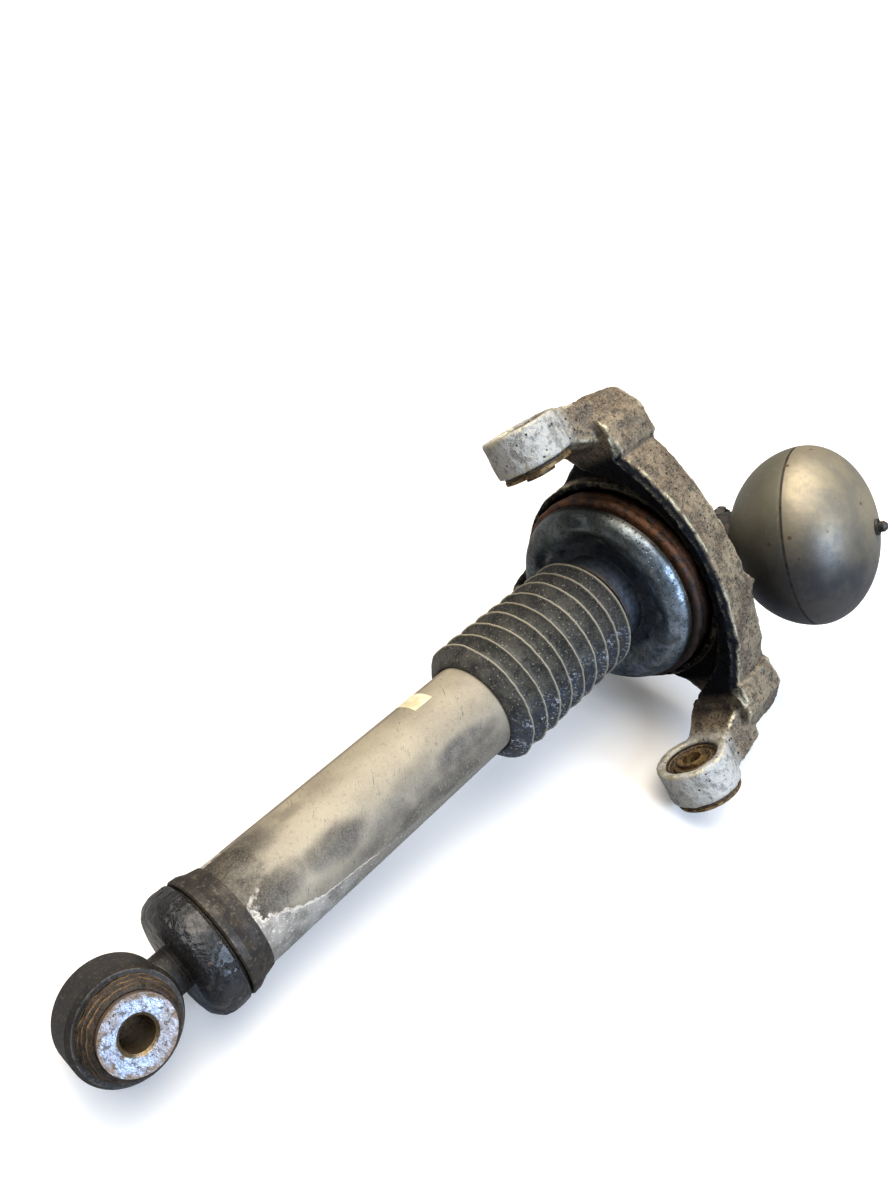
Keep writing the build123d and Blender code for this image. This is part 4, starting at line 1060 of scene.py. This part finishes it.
def make_bush_rubber():
    half = np.array([(16.1, 0.0), (19.2, 0.0), (19.2, 16.7), (20.3, 17.2), (20.7, 18.2), (20.3, 19.2),
                     (19.0, 19.9), (19.6, 20.6), (19.9, 21.3), (19.4, 22.2), (18.1, 22.8), (18.6, 23.5),
                     (18.8, 24.2), (18.3, 25.1), (17.2, 26.2), (16.1, 26.3)])
    mirrored = (half[1:] * (1, -1))[::-1]
    outline = closed_outline(np.vstack([mirrored, half[1:]]), 0.36, 1)
    grid, _ = turned_grid(outline, 224)
    radius, along_axis = outline[:, 0][:, None], outline[:, 1][:, None]
    outer = np.clip((np.abs(along_axis) - 16.8) / 0.6, 0, 1) * np.clip((radius - 16.6) / 0.5, 0, 1)
    nick = 0.22 * waves(grid, 5.0, 31) + 0.16 * waves(grid, 11.0, 32)
    push_out(grid, radius, outer * nick)
    crest = sum(bell(np.abs(along_axis) - rib, 0.45) for rib in rib_places)
    crest = crest * outer * np.clip(0.75 + 0.5 * waves(grid, 9.0, 33), 0, 1)
    laid = np.stack([grid[:, :, 0], -grid[:, :, 2], grid[:, :, 1]], axis=2)
    piece = closed_mesh("bush_moulding", laid, ribbed_rubber, {"crest": crest})
    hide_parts("lower_bush_rubber")
    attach(piece, "cylinder")
    return piece


bush_moulding = make_bush_rubber()

# %% [markdown]
# ## Base cap
# A dished cap pressed over the tube's lower end, thick with paint and grease. The grease has
# dried in lumps, so the surface really is uneven, and not only bumpy to the light.

# %% Base cap piece
def make_base_cap():
    corners = np.array([(10.2, 28.8), (22.0, 28.8), (26.5, 30.0), (30.0, 33.0), (31.6, 37.4),
                        (31.8, 41.0), (31.5, 45.7), (27.8, 45.9), (27.8, 33.9), (10.2, 33.9)])
    outline = closed_outline(corners, 0.45, 5)
    grid, _ = turned_grid(outline, 360)
    radius, height = outline[:, 0][:, None], outline[:, 1][:, None]
    outer = np.clip((radius - 12) / 4, 0, 1) * np.clip((height - 28.0) / 1.0, 0, 1)
    outer = outer * np.clip((45.4 - height) / 1.5, 0, 1) * ((radius > 28.6) | (height < 32.0))
    lumps = 0.16 * waves(grid, 5.5, 12) + 0.12 * waves(grid, 3.0, 13) + 0.2 * waves(grid, 14.0, 14)
    push_out(grid, radius, -outer * np.abs(lumps))
    piece = closed_mesh("cap_pressing", grid, greasy_black)
    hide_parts("base_cap")
    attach(piece, "cylinder")
    return piece


cap_pressing = make_base_cap()

# %% [markdown]
# ## Cast bracket
# A sand casting has no sharp edges: every corner is rounded and every face rolls a little. The
# CAD solid gives the exact form. A copy of it is rebuilt as an even net of small squares, the net
# is relaxed so that edges round over, and then the skin of the sand is pushed in along the
# normals. The masks for rubbed edges, for the painted shade in shelter and in creases, and for the
# pivot eyes are read from the same net.

# %% Even net over a CAD node
def even_net(node, title, voxel_mm):
    """A copy of a CAD node with its doubles merged, rebuilt as an even net of squares."""
    copy = bpy.data.objects.new(title, nodes[node].data.copy())
    bpy.context.scene.collection.objects.link(copy)
    weld = copy.modifiers.new("weld", "WELD")
    weld.merge_threshold = 0.01 * MM
    net = copy.modifiers.new("net", "REMESH")
    net.mode = "VOXEL"
    net.voxel_size = voxel_mm * MM
    bpy.context.view_layer.update()
    ready = copy.evaluated_get(bpy.context.evaluated_depsgraph_get())
    mesh = bpy.data.meshes.new_from_object(ready)
    mesh.name = title
    rough_mesh = copy.data
    copy.modifiers.clear()
    copy.data = mesh
    bpy.data.meshes.remove(rough_mesh)
    mesh.polygons.foreach_set("use_smooth", np.ones(len(mesh.polygons), bool))
    return copy


def read_points(mesh):
    """All points in millimetres, and the edges between them."""
    points = np.zeros(3 * len(mesh.vertices))
    mesh.vertices.foreach_get("co", points)
    edges = np.zeros(2 * len(mesh.edges), int)
    mesh.edges.foreach_get("vertices", edges)
    return points.reshape(-1, 3) / MM, edges.reshape(-1, 2)


def neighbour_mean(values, edges):
    """The mean of each point's neighbours, for one column or several."""
    both = np.vstack([edges, edges[:, ::-1]])
    count = np.bincount(both[:, 0], minlength=len(values))
    columns = np.atleast_2d(values.T)
    sums = [np.bincount(both[:, 0], weights=column[both[:, 1]], minlength=len(values))
            for column in columns]
    return (np.array(sums) / np.maximum(count, 1)).T.reshape(values.shape)


def read_normals(mesh):
    """The normal at every point, as an array."""
    normals = np.zeros(3 * len(mesh.vertices))
    mesh.vertex_normals.foreach_get("vector", normals)
    return normals.reshape(-1, 3)


# %% Bracket casting
wall_foot, wall_drop, wall_reach = 370.0, 9.0, 84.0
lip_height = 5.0
seam_start, seam_end = (47, -71, 367), (88, -62, 396)
knob_middle = (-91, -62, 393)
mark_middle, mark_radius = (88, -62, 369.5), 6.5


def distance_to_run(points, start, end):
    """How far each point is from the straight run between two points."""
    start, run = np.array(start, float), np.subtract(end, start).astype(float)
    share = np.clip((points - start) @ run / (run @ run), 0, 1)
    return np.linalg.norm(points - start - share[:, None] * run, axis=1)


def make_bracket():
    casting = even_net("upper_bracket", "bracket_casting", 1.25)
    mesh = casting.data
    points, edges = read_points(mesh)
    solid_points, _ = read_points(nodes["upper_bracket"].data)
    lowest, highest = solid_points.min(axis=0), solid_points.max(axis=0)
    for _ in range(5):
        points = 0.5 * points + 0.5 * neighbour_mean(points, edges)
    mesh.vertices.foreach_set("co", (points * MM).ravel())
    mesh.update()
    normals = read_normals(mesh)
    bend = np.einsum("ij,ij->i", neighbour_mean(points, edges) - points, normals)
    for _ in range(2):
        bend = 0.5 * bend + 0.5 * neighbour_mean(bend, edges)
    worn = np.clip((-bend - 0.035) / 0.07, 0, 1)
    # concave places, darkened in the finish as painted shade in the creases
    crease_shade = np.clip((bend - 0.03) / 0.06, 0, 1)
    x, y, z = points.T
    outward = points[:, :2] / np.linalg.norm(points[:, :2], axis=1)[:, None]
    facing_in = -np.einsum("ij,ij->i", normals[:, :2], outward)
    high = np.clip((z - 352) / 8, 0, 1)
    on_wall = np.clip((88 - np.abs(x)) / 8, 0, 1)
    facing_down = np.clip((-normals[:, 2] - 0.35) / 0.35, 0, 1)
    # the sloping underside of the front wall, painted dark as shade up to a bright rubbed line
    lip = z - (wall_foot - wall_drop * (x / wall_reach) ** 2)
    front = (y < -56) * (normals[:, 1] < -0.3) * (np.abs(x) < 92)
    slope = np.clip((lip_height - lip) / lip_height, 0, 1) * front
    points[:, 1] += 3.5 * slope
    # painted shade: faces turned inwards, faces turned down and the sloping underside are darkened
    shelter_shade = np.clip((facing_in - 0.15) / 0.4, 0, 1) + facing_down + np.clip(slope * 6, 0, 1)
    shelter_shade = high * np.clip(shelter_shade, 0, 1) * (0.3 + 0.7 * on_wall)
    line = bell(lip - lip_height - 0.6, 0.8) * front
    shelter_shade *= 1 - line
    worn = np.maximum(worn, line)
    eye = np.clip((350 - z) / 10, 0, 1)
    # a raised seam across the wall, a knob on the far pad and a round press mark on the near one
    facing_front = normals[:, 1] < -0.5
    raised = 1.6 * bell(distance_to_run(points, seam_start, seam_end), 2.4) * facing_front
    raised += 1.8 * bell(np.linalg.norm(points - knob_middle, axis=1), 4.0)
    mark = bell(np.linalg.norm(points - mark_middle, axis=1) - mark_radius, 0.9)
    raised -= 0.7 * mark * facing_front
    # the press mark's ring also gets painted shade in the finish
    crease_shade = np.maximum(crease_shade, 0.6 * mark)
    points += normals * raised[:, None]
    rough = 0.16 * waves(points, 4.0, 21) + 0.14 * waves(points, 2.6, 22) + 0.28 * waves(points, 13.0, 23)
    points += normals * (rough * (1 - 0.5 * eye) * (1 - 0.6 * shelter_shade))[:, None]
    points = np.clip(points, lowest, highest)
    mesh.vertices.foreach_set("co", (points * MM).ravel())
    store_masks(mesh, dict(zip(casting_masks, (worn, shelter_shade, eye, crease_shade))))
    mesh.materials.clear()
    mesh.materials.append(cast_aluminium)
    mesh.update()
    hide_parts("upper_bracket")
    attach(casting, "bracket")
    print("bracket_casting", len(mesh.vertices), "points,", 2 * len(mesh.polygons), "triangles")
    return casting


bracket_casting = make_bracket()

# %% [markdown]
# ## Floor and light
# The strut rests on its lower sleeve, the rim of one pivot bush and the back of the bracket: those
# three touch one plane, and the floor lies in it. The floor is pale and shows its face only from
# above, so the part can be looked at from every side. A warm soft light hangs over the part and a
# cool one stands to the side, the way a window and a lamp would light it on a bench.

# %% Floor
up = Vector((-0.695, -0.706, 0.139)).normalized()


def lowest_along(direction):
    """The smallest distance along a direction over every CAD point."""
    lowest = []
    for node in nodes.values():
        corners = np.zeros(3 * len(node.data.vertices))
        node.data.vertices.foreach_get("co", corners)
        lowest.append((corners.reshape(-1, 3) @ np.array(direction)).min())
    return min(lowest)


floor_rise = lowest_along(up) - 0.3 * MM
across = up.orthogonal().normalized()
along = up.cross(across)
floor_half = 30.0
middle = up * floor_rise + Vector((0, 0, 0.25)) - up * up.z * 0.25
corners = [middle + (across * i + along * j) * floor_half for i, j in ((-1, -1), (1, -1), (1, 1), (-1, 1))]
floor_mesh = bpy.data.meshes.new("floor")
floor_mesh.from_pydata([tuple(corner) for corner in corners], [], [(0, 1, 2, 3)])
floor = bpy.data.objects.new("floor", floor_mesh)
bpy.context.scene.collection.objects.link(floor)
floor_paint = bpy.data.materials.new("floor_paint")
floor_paint.use_nodes = True
tree = floor_paint.node_tree
pale = tree.nodes["Principled BSDF"]
pale.inputs["Base Color"].default_value = (0.94, 0.91, 0.87, 1)
pale.inputs["Roughness"].default_value = 0.9
pale.inputs["Specular IOR Level"].default_value = 0.1
pale.inputs["Emission Color"].default_value = (1, 1, 1, 1)
pale.inputs["Emission Strength"].default_value = 0.16
bounce = place(tree, "BsdfDiffuse", {"Color": (0.26, 0.26, 0.27, 1)})
seen = place(tree, "LightPath").outputs["Is Camera Ray"]
lit = place(tree, "MixShader", {0: seen, 1: bounce.outputs[0], 2: pale.outputs[0]})
see_through = place(tree, "BsdfTransparent")
side = place(tree, "NewGeometry").outputs["Backfacing"]
either = place(tree, "MixShader", {0: side, 1: lit.outputs[0], 2: see_through.outputs[0]})
tree.links.new(either.outputs[0], tree.nodes["Material Output"].inputs["Surface"])
floor_mesh.materials.append(floor_paint)
print("floor", round(floor_rise / MM, 1), "mm along its normal")

# %% Lights
aim = Vector((0.01, -0.03, 0.26))


def soft_light(title, direction, distance, size, power, colour):
    """A square lamp that faces the part from a direction."""
    data = bpy.data.lights.new(title, "AREA")
    data.size = size
    data.energy = power
    data.color = colour
    lamp = bpy.data.objects.new(title, data)
    direction = direction.normalized()
    facing = direction.to_track_quat("Z", "Y").to_matrix().to_4x4()
    lamp.matrix_world = Matrix.Translation(aim + direction * distance) @ facing
    lamp.visible_camera = False
    bpy.context.scene.collection.objects.link(lamp)


soft_light("warm_top", up + camera_up * 0.45 - camera_right * 0.15, 1.1, 0.9, 8.5, (1.0, 0.84, 0.62))
beside = camera_right + camera_back * 0.75 + up * 0.25 - camera_up * 0.25
soft_light("cool_side", beside, 1.1, 0.6, 12, (0.58, 0.74, 1.0))
sun_data = bpy.data.lights.new("sky_panel", "SUN")
sun_data.angle = math.radians(75)
sun_data.energy = 3.0
sun = bpy.data.objects.new("sky_panel", sun_data)
sun_from = (up + camera_up * 0.25 - camera_right * 0.15).normalized()
sun.matrix_world = sun_from.to_track_quat("Z", "Y").to_matrix().to_4x4()
bpy.context.scene.collection.objects.link(sun)
world = bpy.data.worlds.new("studio")
bpy.context.scene.world = world
world.use_nodes = True
tree = world.node_tree
tree.nodes["Background"].inputs["Color"].default_value = (1, 1, 1, 1)
seen = place(tree, "LightPath").outputs["Is Camera Ray"]
tree.links.new(level(tree, 0.10, 1.0, seen), tree.nodes["Background"].inputs["Strength"])
